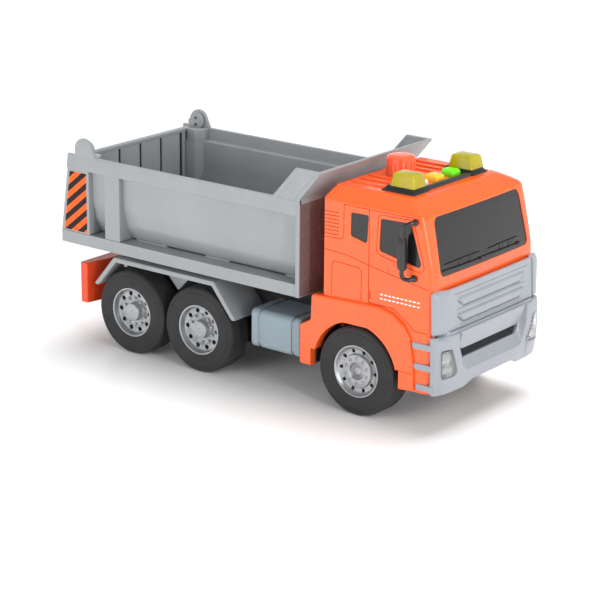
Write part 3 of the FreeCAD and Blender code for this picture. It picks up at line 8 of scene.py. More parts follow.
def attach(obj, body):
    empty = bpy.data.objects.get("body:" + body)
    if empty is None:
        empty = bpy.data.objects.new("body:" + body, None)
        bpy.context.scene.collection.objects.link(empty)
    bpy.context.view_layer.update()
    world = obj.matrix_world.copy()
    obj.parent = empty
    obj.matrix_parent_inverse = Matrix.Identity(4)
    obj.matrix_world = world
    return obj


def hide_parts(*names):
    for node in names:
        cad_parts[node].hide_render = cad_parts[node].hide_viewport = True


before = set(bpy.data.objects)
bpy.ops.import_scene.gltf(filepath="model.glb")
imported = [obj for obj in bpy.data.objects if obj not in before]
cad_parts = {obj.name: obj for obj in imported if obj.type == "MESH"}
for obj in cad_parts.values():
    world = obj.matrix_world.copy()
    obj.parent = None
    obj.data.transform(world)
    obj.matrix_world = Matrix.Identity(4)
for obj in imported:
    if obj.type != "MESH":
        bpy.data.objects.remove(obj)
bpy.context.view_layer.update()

# Toy dump truck. Sizes below are in millimetres, and MM turns them into Blender's metres.
# +X is the truck's front, +Y its left, +Z up. An outline holds a moulding's own corners, and
# pieces of the right side are mirrored to the left.

MM = 0.001
SIDES = (("right", -1), ("left", 1))


# Outlines

def rounded(points, radius, steps=4):
    """A closed outline with arcs at its corners. Radius is one size or one per corner; 0 keeps it sharp."""
    count = len(points)
    radii = radius if isinstance(radius, (list, tuple)) else [radius] * count
    result = []
    for index, point in enumerate(points):
        here = Vector(point)
        back = Vector(points[index - 1]) - here
        ahead = Vector(points[(index + 1) % count]) - here
        half = back.angle(ahead) / 2
        reach = min(radii[index] / math.tan(half), back.length * 0.48, ahead.length * 0.48)
        if radii[index] < 0.25 or reach < 0.01:
            result.append(tuple(here))
            continue
        centre = here + (back.normalized() + ahead.normalized()).normalized() * reach / math.cos(half)
        start = here + back.normalized() * reach - centre
        end = here + ahead.normalized() * reach - centre
        for step in range(steps + 1):
            spoke = start.normalized().slerp(end.normalized(), step / steps)
            result.append(tuple(centre + spoke * start.length))
    return result


def rectangle(left, low, right, high):
    """The four corners of a rectangle, from its lower left one."""
    return [(left, low), (right, low), (right, high), (left, high)]


def arc(middle, radius, start, sweep, steps):
    """Points round a middle, from a start angle through a sweep, both in degrees."""
    angles = (math.radians(start + sweep * step / steps) for step in range(steps + 1))
    return [(middle[0] + radius * math.cos(angle), middle[1] + radius * math.sin(angle)) for angle in angles]


def mirrored(points):
    """A half outline (across, up) continued with its mirror image."""
    return list(points) + [(-across, up) for across, up in reversed(points)]


def shrunk(points, distance):
    """A closed outline moved inwards by a small distance."""
    count = len(points)
    area = sum(points[i - 1][0] * points[i][1] - points[i][0] * points[i - 1][1] for i in range(count))
    turn = 1 if area > 0 else -1
    result = []
    for index, point in enumerate(points):
        back = (Vector(point) - Vector(points[index - 1])).normalized()
        ahead = (Vector(points[(index + 1) % count]) - Vector(point)).normalized()
        inward_back = Vector((-back.y, back.x)) * turn
        inward_ahead = Vector((-ahead.y, ahead.x)) * turn
        middle = inward_back + inward_ahead
        scale = distance / max(0.35, 1 + inward_back.dot(inward_ahead))
        result.append(tuple(Vector(point) + middle * scale))
    return result


# Meshes: every builder returns a bmesh in millimetres

PLACE = {"XY": lambda a, b, c: (a, b, c), "XZ": lambda a, b, c: (a, c, b), "YZ": lambda a, b, c: (c, a, b)}


def prism(outline, plane, low, high, edge=0.4, steps=3):
    """A closed solid between two levels of a plane, its rims softened by a quarter round."""
    place = PLACE[plane]
    quarter = [math.pi / 2 * step / steps for step in range(steps + 1)] if edge > 0 else [math.pi / 2]
    levels = [(edge * (1 - math.sin(angle)), low + edge * (1 - math.cos(angle))) for angle in quarter]
    levels += [(inset, high + low - level) for inset, level in reversed(levels)]
    rings = []
    for inset, level in levels:
        points = shrunk(outline, inset) if inset > 1e-6 else outline
        rings.append([place(across, up, level) for across, up in points])
    return solid(rings)


def stitch(mesh, rings, closed):
    """Join neighbouring rings of points with quads."""
    for lower, upper in zip(rings, rings[1:]):
        count = len(lower)
        for index in range(count if closed else count - 1):
            following = (index + 1) % count
            mesh.faces.new((lower[index], lower[following], upper[following], upper[index]))


def solid(rings, capped=True, closed=True):
    """A closed mesh through rings of points, with capped ends or else joined back to its first ring."""
    mesh = bmesh.new()
    loops = [[mesh.verts.new(point) for point in ring] for ring in rings]
    stitch(mesh, loops if capped else loops + loops[:1], closed)
    if capped:
        mesh.faces.new(loops[0])
        mesh.faces.new(loops[-1])
    return tidy(mesh)


def tidy(mesh):
    """Merge doubled points and face every side outwards."""
    bmesh.ops.remove_doubles(mesh, verts=mesh.verts, dist=1e-4)
    bmesh.ops.recalc_face_normals(mesh, faces=mesh.faces)
    return mesh


def lathe(profile, steps=96):
    """A solid of revolution about the Y axis from a profile of (radius, distance along Y)."""
    angles = [2 * math.pi * step / steps for step in range(steps)]
    rings = [[(r * math.cos(angle), y, r * math.sin(angle)) for r, y in profile] for angle in angles]
    return solid(rings, capped=False, closed=False)


# A direction that no tube runs along, from which its rings are turned
TUBE_UP = Vector((0.31, 0.12, 0.94))


def tube(points, radius, sides=12, rounds=6):
    """A round tube along a smooth curve through points."""
    path = smooth_path([Vector(point) for point in points], rounds)
    rings = []
    for index, point in enumerate(path):
        ahead = (path[min(index + 1, len(path) - 1)] - path[max(index - 1, 0)]).normalized()
        across = ahead.cross(TUBE_UP).normalized()
        over = across.cross(ahead)
        angles = (2 * math.pi * side / sides for side in range(sides))
        rings.append([point + (across * math.cos(a) + over * math.sin(a)) * radius for a in angles])
    return solid(rings)


def smooth_path(points, rounds):
    """Catmull-Rom points through a list of points."""
    padded = [points[0] * 2 - points[1]] + points + [points[-1] * 2 - points[-2]]
    path = []
    for index in range(1, len(padded) - 2):
        before, start, end, after = padded[index - 1:index + 3]
        for step in range(rounds):
            t = step / rounds
            square = 2 * before - 5 * start + 4 * end - after
            cube = 3 * start - before - 3 * end + after
            path.append(0.5 * (2 * start + (end - before) * t + square * t ** 2 + cube * t ** 3))
    return path + [points[-1]]


def moved(mesh, x=0.0, y=0.0, z=0.0, turn=None):
    """Turn a mesh about an axis given as (letter, degrees), then move it."""
    if turn:
        axis, degrees = turn
        matrix = Matrix.Rotation(math.radians(degrees), 3, axis)
        bmesh.ops.rotate(mesh, verts=mesh.verts, cent=(0, 0, 0), matrix=matrix)
    bmesh.ops.translate(mesh, verts=mesh.verts, vec=(x, y, z))
    return mesh


def flipped(mesh):
    """The mirror image on the truck's other side, as a new mesh."""
    copy = mesh.copy()
    bmesh.ops.scale(copy, verts=copy.verts, vec=(1, -1, 1))
    bmesh.ops.reverse_faces(copy, faces=copy.faces)
    return copy


def joined(*meshes):
    """Several meshes in one."""
    whole = bmesh.new()
    for mesh in meshes:
        part = bpy.data.meshes.new("part")
        mesh.to_mesh(part)
        whole.from_mesh(part)
        bpy.data.meshes.remove(part)
        mesh.free()
    return whole


def both(mesh):
    """A mesh together with its mirror image."""
    return joined(flipped(mesh), mesh)


def sliced(mesh, axis, places):
    """Cut a mesh's faces by planes across one axis, so that it can bend there."""
    normal = Vector((axis == "X", axis == "Y", axis == "Z"))
    for place in places:
        geometry = mesh.verts[:] + mesh.edges[:] + mesh.faces[:]
        bmesh.ops.bisect_plane(mesh, geom=geometry, plane_co=normal * place, plane_no=normal, dist=1e-5)


def shown(item):
    """Put an object in the scene."""
    bpy.context.scene.collection.objects.link(item)
    return item


def smooth_object(name, mesh, crease=180):
    """An object in the scene from a mesh in millimetres, smooth up to a crease angle."""
    bmesh.ops.scale(mesh, verts=mesh.verts, vec=(MM, MM, MM))
    data = bpy.data.meshes.new(name)
    mesh.to_mesh(data)
    mesh.free()
    for face in data.polygons:
        face.use_smooth = True
    if crease < 180:
        data.set_sharp_from_angle(angle=math.radians(crease))
    return shown(bpy.data.objects.new(name, data))


def combine(base, tool, operation):
    """A boolean of two closed meshes."""
    objects = []
    for mesh in (base, tool):
        data = bpy.data.meshes.new("boolean")
        mesh.to_mesh(data)
        mesh.free()
        objects.append(shown(bpy.data.objects.new("boolean", data)))
    modifier = objects[0].modifiers.new("boolean", "BOOLEAN")
    modifier.object = objects[1]
    modifier.operation = operation
    modifier.solver = "EXACT"
    modifier.use_self = True
    bpy.context.view_layer.update()
    worked = objects[0].evaluated_get(bpy.context.evaluated_depsgraph_get())
    done = bpy.data.meshes.new_from_object(worked)
    result = bmesh.new()
    result.from_mesh(done)
    for item in objects:
        data = item.data
        bpy.data.objects.remove(item)
        bpy.data.meshes.remove(data)
    bpy.data.meshes.remove(done)
    return result


def carve(base, *tools):
    """A closed mesh with others taken away."""
    return combine(base, joined(*tools), "DIFFERENCE")


def piece(name, mesh, body, material, replaces=(), crease=35):
    """Make an object from a mesh in millimetres, ride it on its body and hide the CAD nodes it replaces."""
    item = smooth_object(name, mesh, crease)
    item.data.materials.append(material)
    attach(item, body)
    if replaces:
        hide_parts(*replaces)


def stand_in(node, mesh, body, material, crease=35):
    """A piece that takes the place of one CAD node."""
    piece(f"{node}_visual", mesh, body, material, [node], crease)


# Materials

class Shader:
    """A small builder for node materials."""

    def __init__(self, name):
        self.material = bpy.data.materials.new(name)
        self.material.use_nodes = True
        self.tree = self.material.node_tree
        self.surface = self.tree.nodes["Principled BSDF"]
        self.place = self.tree.nodes.new("ShaderNodeTexCoord").outputs["Object"]

    def set(self, **values):
        """Set the shader's own sockets; underscores stand for spaces."""
        for name, value in values.items():
            self.surface.inputs[name.replace("_", " ")].default_value = value

    def link(self, source, target):
        self.tree.links.new(source, target)

    def noise(self, scale, detail=4.0, rough=0.55, stretch=None):
        """Noise over the object, optionally stretched along an axis."""
        node = self.tree.nodes.new("ShaderNodeTexNoise")
        node.inputs["Scale"].default_value = scale
        node.inputs["Detail"].default_value = detail
        node.inputs["Roughness"].default_value = rough
        place = self.place
        if stretch:
            mapping = self.tree.nodes.new("ShaderNodeMapping")
            mapping.inputs["Scale"].default_value = stretch
            self.link(place, mapping.inputs["Vector"])
            place = mapping.outputs["Vector"]
        self.link(place, node.inputs["Vector"])
        return node.outputs["Fac"]

    def calculate(self, operation, first, second):
        """Arithmetic on a socket and either a second socket or a number."""
        node = self.tree.nodes.new("ShaderNodeMath")
        node.operation = operation
        self.link(first, node.inputs[0])
        if isinstance(second, float):
            node.inputs[1].default_value = second
        else:
            self.link(second, node.inputs[1])
        return node.outputs[0]

    def ramp(self, source, low, high, start, end):
        """Turn a value into a colour or grey between two."""
        node = self.tree.nodes.new("ShaderNodeValToRGB")
        first, last = node.color_ramp.elements
        first.position = start
        last.position = end
        first.color = (*low, 1)
        last.color = (*high, 1)
        self.link(source, node.inputs["Fac"])
        return node.outputs["Color"]

    def colour(self, source, low, high, start, end):
        self.link(self.ramp(source, low, high, start, end), self.surface.inputs["Base Color"])

    def roughness(self, source, low, high):
        node = self.tree.nodes.new("ShaderNodeMapRange")
        node.inputs["To Min"].default_value = low
        node.inputs["To Max"].default_value = high
        self.link(source, node.inputs["Value"])
        self.link(node.outputs["Result"], self.surface.inputs["Roughness"])

    def bump(self, source, strength, distance):
        node = self.tree.nodes.new("ShaderNodeBump")
        node.inputs["Strength"].default_value = strength
        node.inputs["Distance"].default_value = distance
        previous = self.surface.inputs["Normal"].links
        if previous:
            self.link(previous[0].from_socket, node.inputs["Normal"])
        self.link(source, node.inputs["Height"])
        self.link(node.outputs["Normal"], self.surface.inputs["Normal"])


def tone(colour, factor):
    """A colour made lighter or darker."""
    return tuple(min(1.0, channel * factor) for channel in colour)


def plastic(name, colour, rough=0.3, grain=0.12, coat=0.25, glow=0.0):
    """Injection moulded plastic: faint flow marks, dust and a slight orange peel."""
    shader = Shader(name)
    shader.set(IOR=1.5, Coat_Weight=coat, Coat_Roughness=0.08, Specular_IOR_Level=0.5)
    if glow:
        shader.set(Subsurface_Weight=glow, Subsurface_Radius=(0.004, 0.002, 0.001), Subsurface_Scale=1.0)
    shader.colour(shader.noise(38, 3, 0.6, (1, 1, 0.35)), tone(colour, 0.955), tone(colour, 1.035), 0.3, 0.7)
    shader.roughness(shader.noise(160, 5, 0.6), rough - 0.05, rough + 0.08)
    shader.bump(shader.noise(900, 2, 0.5), grain, 0.00006)
    shader.bump(shader.noise(70, 2, 0.4), grain * 0.6, 0.00025)
    return shader.material


def rubber(name, colour, rough=0.62):
    """Soft matt rubber with a fine grain and a dusty bloom."""
    shader = Shader(name)
    shader.set(IOR=1.5, Specular_IOR_Level=0.35, Sheen_Weight=0.02, Sheen_Roughness=0.5)
    shader.colour(shader.noise(55, 6, 0.65), tone(colour, 0.8), tone(colour, 1.3), 0.3, 0.72)
    shader.roughness(shader.noise(220, 4, 0.6), rough - 0.08, rough + 0.12)
    shader.bump(shader.noise(1500, 3, 0.6), 0.25, 0.00005)
    return shader.material


def metal(name, colour, rough=0.3, stretch=None, shine=1.0):
    """Metal or plated plastic with fine drawing or casting marks."""
    shader = Shader(name)
    shader.set(Metallic=shine, IOR=1.5)
    shader.colour(shader.noise(90, 5, 0.6, stretch), tone(colour, 0.86), tone(colour, 1.05), 0.3, 0.7)
    shader.roughness(shader.noise(240, 5, 0.65, stretch), rough - 0.07, rough + 0.1)
    shader.bump(shader.noise(700, 3, 0.6, stretch), 0.12, 0.00005)
    return shader.material


def tinted(name, colour, rough=0.1, clear=0.6, glow=0.0, coat=0.4):
    """Translucent moulding for lamps and windows."""
    shader = Shader(name)
    shader.set(IOR=1.46, Transmission_Weight=clear, Specular_IOR_Level=0.5)
    shader.set(Coat_Weight=coat, Coat_Roughness=0.04)
    if glow:
        shader.set(Subsurface_Weight=glow, Subsurface_Radius=(0.006, 0.003, 0.001), Subsurface_Scale=1.0)
    shader.colour(shader.noise(60, 3, 0.5), tone(colour, 0.9), tone(colour, 1.08), 0.3, 0.7)
    shader.roughness(shader.noise(200, 4, 0.6), rough * 0.7, rough * 1.4)
    shader.bump(shader.noise(400, 2, 0.5), 0.06, 0.00005)
    return shader.material


ORANGE = plastic("cab_orange_moulding", (0.92, 0.115, 0.019), 0.24, 0.1, 0.4)
BEAM_RED = plastic("beam_orange_moulding", (0.74, 0.062, 0.014), 0.3)
GREY = plastic("body_grey_moulding", (0.29, 0.306, 0.318), 0.36, 0.12, 0.15)
FRONT_GREY = plastic("front_grey_moulding", (0.288, 0.307, 0.34), 0.3, 0.12, 0.3)
TANK = plastic("tank_blue_grey_moulding", (0.225, 0.285, 0.325), 0.34)
BLACK = plastic("chassis_black_moulding", (0.012, 0.012, 0.013), 0.5, 0.3, 0.0)
TRIM = plastic("trim_black_moulding", (0.016, 0.017, 0.019), 0.28, 0.15, 0.2)
NET = rubber("net_black_moulding", (0.045, 0.046, 0.05), 0.5)
NET_BACK = rubber("net_backing_moulding", (0.004, 0.004, 0.0045), 0.7)
SMOKED = plastic("smoked_glazing", (0.011, 0.0115, 0.012), 0.13, 0.03, 0.2)
TYRE = rubber("tyre_rubber", (0.027, 0.027, 0.028))
RIM = metal("rim_plating", (0.45, 0.465, 0.48), 0.34, None, 0.8)
STEEL = metal("drawn_steel", (0.5, 0.5, 0.52), 0.3, (1, 0.05, 1))
AMBER = tinted("amber_lens_moulding", (0.56, 0.50, 0.006), 0.16, 0.3, 0.25, 0.15)
BEACON = tinted("beacon_moulding", (1.0, 0.13, 0.045), 0.12, 0.1, 0.3)
CLEAR = tinted("clear_lens_moulding", (0.93, 0.94, 0.95), 0.05, 0.95)
BUTTON_COLOURS = {"white": (0.82, 0.82, 0.9), "yellow": (0.98, 0.56, 0.02), "green": (0.16, 0.85, 0.012)}
BUTTONS = {name: plastic(f"button_{name}_moulding", colour, 0.25, 0.1, 0.3, 0.1)
           for name, colour in BUTTON_COLOURS.items()}


def dressed(node, material, width=0.0):
    """Give a CAD node its finish, and soften its edges if a width is given."""
    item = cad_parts[node]
    for place in item.material_slots:
        place.material = material
    if width:
        weld = item.modifiers.new("weld", "WELD")
        weld.merge_threshold = 0.01 * MM
        flat = item.modifiers.new("flat", "DECIMATE")
        flat.decimate_type = "DISSOLVE"
        flat.angle_limit = math.radians(0.6)
        round_over = item.modifiers.new("round", "BEVEL")
        round_over.width = width * MM
        round_over.segments = 2
        round_over.limit_method = "ANGLE"
        round_over.angle_limit = math.radians(32)
        round_over.use_clamp_overlap = True
        shade = item.modifiers.new("shade", "WEIGHTED_NORMAL")
        shade.keep_sharp = False


# Wheels

AXLES = {"front_wheels": 82.7, "middle_wheels": -32.2, "rear_wheels": -85.2}
WHEEL_MIDDLE = 43.2
WHEEL_RADIUS = 25.75
TREAD_LINES = (4.4, 2.2, 0.0, -2.2, -4.4)
VENTS = 10
HALF_PITCH = 180 / VENTS


def seated(mesh, label, side):
    """Put a wheel part built round the Y axis in its place, its outer face away from the truck."""
    mesh = moved(mesh, y=WHEEL_MIDDLE)
    if side == "right":
        whole = flipped(mesh)
        mesh.free()
        mesh = whole
    return moved(mesh, x=AXLES[label], z=WHEEL_RADIUS)


def tyre_mesh():
    """A smooth toy tyre: crowned sidewalls, a raised ring below the shoulder and shallow tread lines."""
    outer = [(15.2, 7.6), (15.5, 8.1), (16.3, 8.42), (18, 8.5), (21.3, 8.5), (22.2, 8.44), (22.5, 8.2),
             (22.9, 8.18), (23.2, 8.36), (24.0, 8.26), (24.8, 7.95), (25.4, 7.4), (25.68, 6.7), (25.75, 6.0)]
    tread = []
    for middle in TREAD_LINES:
        tread += [(WHEEL_RADIUS, middle + 0.35), (25.5, middle + 0.18), (25.5, middle - 0.18),
                  (WHEEL_RADIUS, middle - 0.35)]
    profile = outer + tread + [(r, -y) for r, y in reversed(outer)]
    return lathe(profile, 128)


def ring_of(part, count, radius, start=0.0):
    """Copies of a small part spread round the Y axis."""
    copies = []
    for number in range(count):
        copy = part.copy()
        moved(copy, x=radius)
        copies.append(moved(copy, turn=("Y", start + 360 * number / count)))
    part.free()
    return joined(*copies)


def rear_rim_mesh():
    """A dished rim: bright lip, ten round vents, ten small studs and a projecting hub."""
    profile = [(0, -6), (4, -6), (4.4, 3.0), (9, 3.2), (12.9, 2.8), (13.6, -8), (15.2, -8), (15.2, 7.75),
               (15.0, 8.0), (14.3, 8.0), (14.05, 7.8), (13.85, 7.2), (13.6, 5.8), (13.2, 4.9), (12.6, 4.5),
               (11.6, 4.35), (9.6, 4.5), (9.2, 4.2), (6.6, 3.9), (5.9, 3.8), (5.5, 4.1), (5.4, 7.3),
               (5.2, 7.65), (4.8, 7.8), (4.1, 7.8), (3.9, 7.6), (1.2, 7.6), (1.0, 7.75), (0, 7.75)]
    vents = ring_of(lathe([(0, 0), (1.45, 0), (1.45, 8), (0, 8)], 20), VENTS, 11.2)
    stud = lathe([(0, 3.6), (0.85, 3.6), (0.85, 5.1), (0.6, 5.4), (0, 5.4)], 12)
    studs = ring_of(stud, VENTS, 8.1, HALF_PITCH)
    return joined(carve(lathe(profile, 120), vents), studs)


def front_rim_mesh():
    """A rim with a raised centre: sloping barrel, ten oval vents, ten hollow nuts and a coned hub recess."""
    profile = [(0, -6), (4, -6), (4.6, 1.6), (9.2, 2.2), (12.4, 1.6), (13.6, -8), (15.2, -8), (15.2, 7.75),
               (15.0, 8.0), (14.4, 8.0), (14.15, 7.8), (13.8, 7.0), (13.2, 6.1), (12.4, 5.6), (10.8, 5.3),
               (9.95, 5.4), (9.75, 5.7), (9.65, 6.9), (9.4, 7.3), (9.0, 7.5), (5.5, 7.5), (5.1, 7.35),
               (4.8, 6.9), (4.3, 5.4), (3.9, 5.2), (2.6, 5.7), (2.3, 6.1), (1.9, 6.3), (1.0, 6.3),
               (0.8, 6.15), (0, 6.15)]
    vent = lathe([(0, 0), (1.0, 0), (1.0, 9), (0, 9)], 20)
    bmesh.ops.scale(vent, verts=vent.verts, vec=(1.25, 1, 1.1))
    vents = ring_of(vent, VENTS, 11.5)
    nut = lathe([(0, 6.9), (1.1, 6.9), (1.1, 7.85), (0.95, 8.05), (0.66, 8.05), (0.55, 7.9), (0.5, 7.1),
                 (0, 7.1)], 20)
    nuts = ring_of(nut, VENTS, 7.35, HALF_PITCH)
    return joined(carve(lathe(profile, 120), vents), nuts)


def wheels():
    for label in AXLES:
        rim_mesh = front_rim_mesh() if label == "front_wheels" else rear_rim_mesh()
        short = label.split("_")[0]
        for side, _ in SIDES:
            stand_in(f"{short}_tyre_{side}", seated(tyre_mesh(), label, side), label, TYRE, 28)
            stand_in(f"{short}_rim_{side}", seated(rim_mesh.copy(), label, side), label, RIM, 30)
            backing = lathe([(8.6, -1.2), (13.2, -1.2), (13.2, -0.3), (8.6, -0.3)], 48)
            piece(f"{short}_drum_{side}", seated(backing, label, side), label, BLACK)
        rim_mesh.free()
        dressed(f"{short}_axle", STEEL)


# Tipper

TAIL_FOOT_X = -139.8
TAIL_TOP_X = -132.7
SILL_TOP = 68.5
TUB_TOP = 117.4
RAIL_HALF = 53.7
SHELF_Z = 109.9
HEAD_REAR_X = 41.3
HEAD_FRONT_X = 44.2
GATE_PIVOT = (-119.7, 120.9)
GATE_REAR = -126
GATE_FACE = -122.25


def leaning(mesh, until=-120.0):
    """Lean the rear end of a part along the tub's sloping tail."""
    for vert in mesh.verts:
        if vert.co.x < until:
            vert.co.x += (vert.co.z - SILL_TOP) * (TAIL_TOP_X - TAIL_FOOT_X) / (TUB_TOP - SILL_TOP)
    return mesh


def hull_mesh():
    """The channel itself. Its outline runs outside right, inside right, then back along the left."""
    outside = [(41.5, SILL_TOP), (46.6, 77.5), (49.5, 90), (49.5, 107.9), (RAIL_HALF, 107.9),
               (RAIL_HALF, TUB_TOP)]
    inside = [(51.7, TUB_TOP), (51.7, SHELF_Z), (47.5, SHELF_Z), (47.5, 90), (44.5, 78.2), (39.5, 70.5)]
    points = mirrored(outside + inside)
    radii = [3, 14, 20, 1.2, 0.8, 0.7, 0.7, 0.8, 0.8, 20, 14, 5]
    outline = rounded(points, radii + radii[::-1], 6)
    return leaning(prism(outline, "YZ", TAIL_FOOT_X, HEAD_REAR_X + 0.4, 0.35))


def post_mesh(rear, front):
    """A square post whose inner face follows the curved side."""
    inner = [(41, SILL_TOP + 0.3), (46.1, 77.6), (49, 90), (49, 108.2)]
    outline = inner + [(52.9, 108.2), (52.9, SILL_TOP + 0.3)]
    return prism(rounded(outline, [0.2, 12, 16, 0.2, 0.2, 0.2], 5), "YZ", rear, front, 0.45)


# Points of a ring that would fall together are kept this far apart
JAMB_SPREAD = 0.01


def jamb_mesh():
    """The thick inner edge beside the tailgate. It slopes away at its front, inside the curved side."""
    outer = [(48.3, 90), (46.4, 82.4), (43.9, 77.0)]
    rings = []
    for x, inner, low in ((-139.3, 42.9, 77.6), (-138.9, 42.7, 77.6), (-115.6, 42.7, 77.6),
                          (-115.2, 42.9, 78), (-111.6, 48.0, 91), (-111.3, 48.2, 92)):
        line = [(inner, low), (inner, 109.7), (48.4, 109.7)]
        line += [(max(y, inner), max(z, low)) for y, z in outer]
        rings.append([(x, y + JAMB_SPREAD * place, z) for place, (y, z) in enumerate(line)])
    lower = leaning(solid(rings), -130)
    upper_plan = [(-121.7, 52), (-121.7, 42.7), (-115.3, 42.7), (-111.4, 48.1), (-111.4, 52)]
    upper = prism(rounded(upper_plan, [0.1, 0.5, 0.5, 0.5, 0.1], 3), "XY", 109.4, 117.1, 0.3)
    return joined(lower, upper)


def headboard_mesh():
    """The front wall, with the cab guard leaning forward from its top."""
    half = RAIL_HALF + 0.04
    wall = prism(rounded(mirrored([(half, 61.1), (half, 119)]), 0.6, 3), "YZ", HEAD_REAR_X, HEAD_FRONT_X, 0.45)
    bend = [(HEAD_REAR_X + 0.05, 116.5), (HEAD_REAR_X + 0.05, 119.4), (56.3, 135.6), (59, 135.6),
            (HEAD_FRONT_X - 0.03, 118.2), (HEAD_FRONT_X - 0.03, 116.5)]
    guard = prism(rounded(bend, [0, 2, 0.6, 0.6, 3, 0], 5), "XZ", -RAIL_HALF - 0.02, RAIL_HALF + 0.02, 0.45)
    return joined(wall, guard)


def wing_mesh():
    """The raised side between the rail and the cab guard, with a thicker rim along its edge."""
    outline = [(24, 114), (25.8, TUB_TOP - 0.05), (41.9, 135.5), (58.3, 135.5), (HEAD_FRONT_X, 118.6),
               (HEAD_FRONT_X, 114)]
    plate = prism(rounded(outline, [0.2, 1.5, 1.2, 0.4, 1, 0.2], 4), "XZ", 51.9, 53.5, 0.3)
    rim_line = [(23.2, TUB_TOP - 1.07), (25.4, TUB_TOP - 1.07), (41.5, 134.53), (57.2, 134.53)]
    rim = prism(ribbon(rim_line, 2.2), "XZ", 51.6, RAIL_HALF - 0.03, 0.35)
    return joined(plate, rim)


def ribbon(points, width):
    """The closed outline of a band of even width that follows an open line."""
    line = [Vector(point) for point in points]
    left, right = [], []
    for index, point in enumerate(line):
        back = (point - line[index - 1]).normalized() if index else None
        ahead = (line[index + 1] - point).normalized() if index + 1 < len(line) else None
        back = back or ahead
        ahead = ahead or back
        normal = Vector((-back.y - ahead.y, back.x + ahead.x)).normalized()
        reach = width / 2 / max(0.4, normal.dot(Vector((-ahead.y, ahead.x))))
        left.append(tuple(point + normal * reach))
        right.append(tuple(point - normal * reach))
    return left + right[::-1]


def ear_mesh():
    """A rounded lug on the rail with a slanting front and a pin."""
    outline = [(-126.7, 115.5)] + arc(GATE_PIVOT, 7, 180, -142, 11) + [(-110.6, 117.6), (-110.6, 115.5)]
    web = prism(outline, "XZ", 51.7, RAIL_HALF - 0.02, 0.35)
    pin = lathe([(0, 51.2), (1.5, 51.2), (1.5, 53.4), (1.3, 53.66), (0, 53.66)], 24)
    return joined(web, moved(pin, x=GATE_PIVOT[0], z=GATE_PIVOT[1]))


def tub():
    """The tub with its posts, jambs, wings and ears, its clips, black strips of painted shadow in its seams,
    and a sheet of painted shade with a painted orange reflection on its front face.
    """
    posts = joined(leaning(post_mesh(TAIL_FOOT_X, -116.7)), post_mesh(-104, -92))
    hull = joined(hull_mesh(), headboard_mesh(), both(joined(posts, jamb_mesh(), wing_mesh(), ear_mesh())))
    stand_in("tipper_tub", hull, "tipper", GREY, 32)
    clips = []
    for start, end in ((-88, -64), (-34, -16), (26, 38)):
        clip = rounded(rectangle(start, 40.4, end, 42.6), 0.5, 3)
        clips.append(prism(clip, "XY", SILL_TOP - 0.1, SILL_TOP + 0.8, 0.3))
    # A thin sheet on the headboard's front face, coloured as painted shade with a painted reflection of the
    # orange cab.
    face = prism(rounded(mirrored([(53.2, 61.8), (53.2, 115.0)]), 0.5, 3), "YZ", HEAD_FRONT_X - 0.1,
                 HEAD_FRONT_X + 0.12, 0.05, 1)
    shade = plastic("gap_painted_shade_and_reflection", (0.18, 0.135, 0.132), 0.25)
    piece("headboard_front_painted_shade", face, "tipper", shade)
    piece("tub_clips", both(joined(*clips)), "tipper", GREY)
    # Black strips of painted shadow in the gaps where the tub meets the base.
    seams = [prism(rectangle(start, 41.3, end, 41.95), "XY", SILL_TOP - 0.2, SILL_TOP + 0.12, 0)
             for start, end in ((-63.5, -34.5), (-15.5, 25.5))]
    piece("tub_seam_painted_shadow", both(joined(*seams)), "tipper", BLACK)


def tailgate():
    """The gate: a ribbed plate with a top rim and two eyes, and the dark lines between its ribs."""
    outline = mirrored([(38.4, 71.1), (42.3, 84), (42.3, 110.4), (51.3, 110.4), (51.3, TUB_TOP)])
    radii = [1, 6, 0.6, 0.6, 0.8, 0.8, 0.6, 0.6, 6, 1]
    plate = prism(rounded(outline, radii, 4), "YZ", GATE_REAR, -123.3, 0.35)
    panels = []
    edges = [-42.0, -39.2, -36.6, -19.9, -18.0, -0.95, 0.95, 18.0, 19.9, 36.6, 39.2, 42.0]
    for start, end in zip(edges[0::2], edges[1::2]):
        foot = 77.5 if abs(start) < 38 and abs(end) < 38 else 83.5
        panels.append(prism(rounded(rectangle(start, foot, end, 115.4), 0.4, 3), "YZ", -124.2, GATE_FACE, 0.35))
    foot = prism(rounded(mirrored([(38.0, 71.6), (40.4, 77.2)]), 1, 3), "YZ", -124.2, GATE_FACE, 0.3)
    rim = prism(rounded(mirrored([(51.3, 115.0), (51.3, TUB_TOP)]), 0.4, 3), "YZ", GATE_REAR, -122.05, 0.35)
    backs = [prism(rounded(rectangle(y - 1.2, 74, y + 1.2, 114), 0.5, 3), "YZ", GATE_REAR, -125.2, 0.3)
             for y in (-27, -9, 9, 27)]
    eye_outline = [(-125.9, 114.5), (-125.9, 121.5)] + arc(GATE_PIVOT, 5.3, 175, -230, 10) + [(-122.2, 114.5)]
    eye = prism(eye_outline, "XZ", 49.0, 51.35, 0.3)
    pin = lathe([(0, 49.3), (1.5, 49.3), (1.5, 52.9), (0, 52.9)], 20)
    moved(pin, x=GATE_PIVOT[0], z=GATE_PIVOT[1])
    gate = joined(plate, foot, rim, *panels, *backs, both(joined(eye, pin)))
    stand_in("tailgate", gate, "tailgate", GREY, 32)
    lines = [prism(rectangle(y - 1.4, 77, y + 1.4, 115.2), "YZ", -123.6, -123.2, 0)
             for y in (-37.9, -19, 0, 19, 37.9)]
    for y in (48.85, -49.15):
        for z in (123.0, 118.8):
            dot = lathe([(0, y), (0.95, y), (0.95, y + 0.3), (0, y + 0.3)], 16)
            lines.append(moved(dot, x=GATE_PIVOT[0], z=z))
    piece("tailgate_groove_shadow", joined(*lines), "tailgate", TRIM)


STRIPE_PITCH = 8.3
STRIPE_LEAN = 0.81


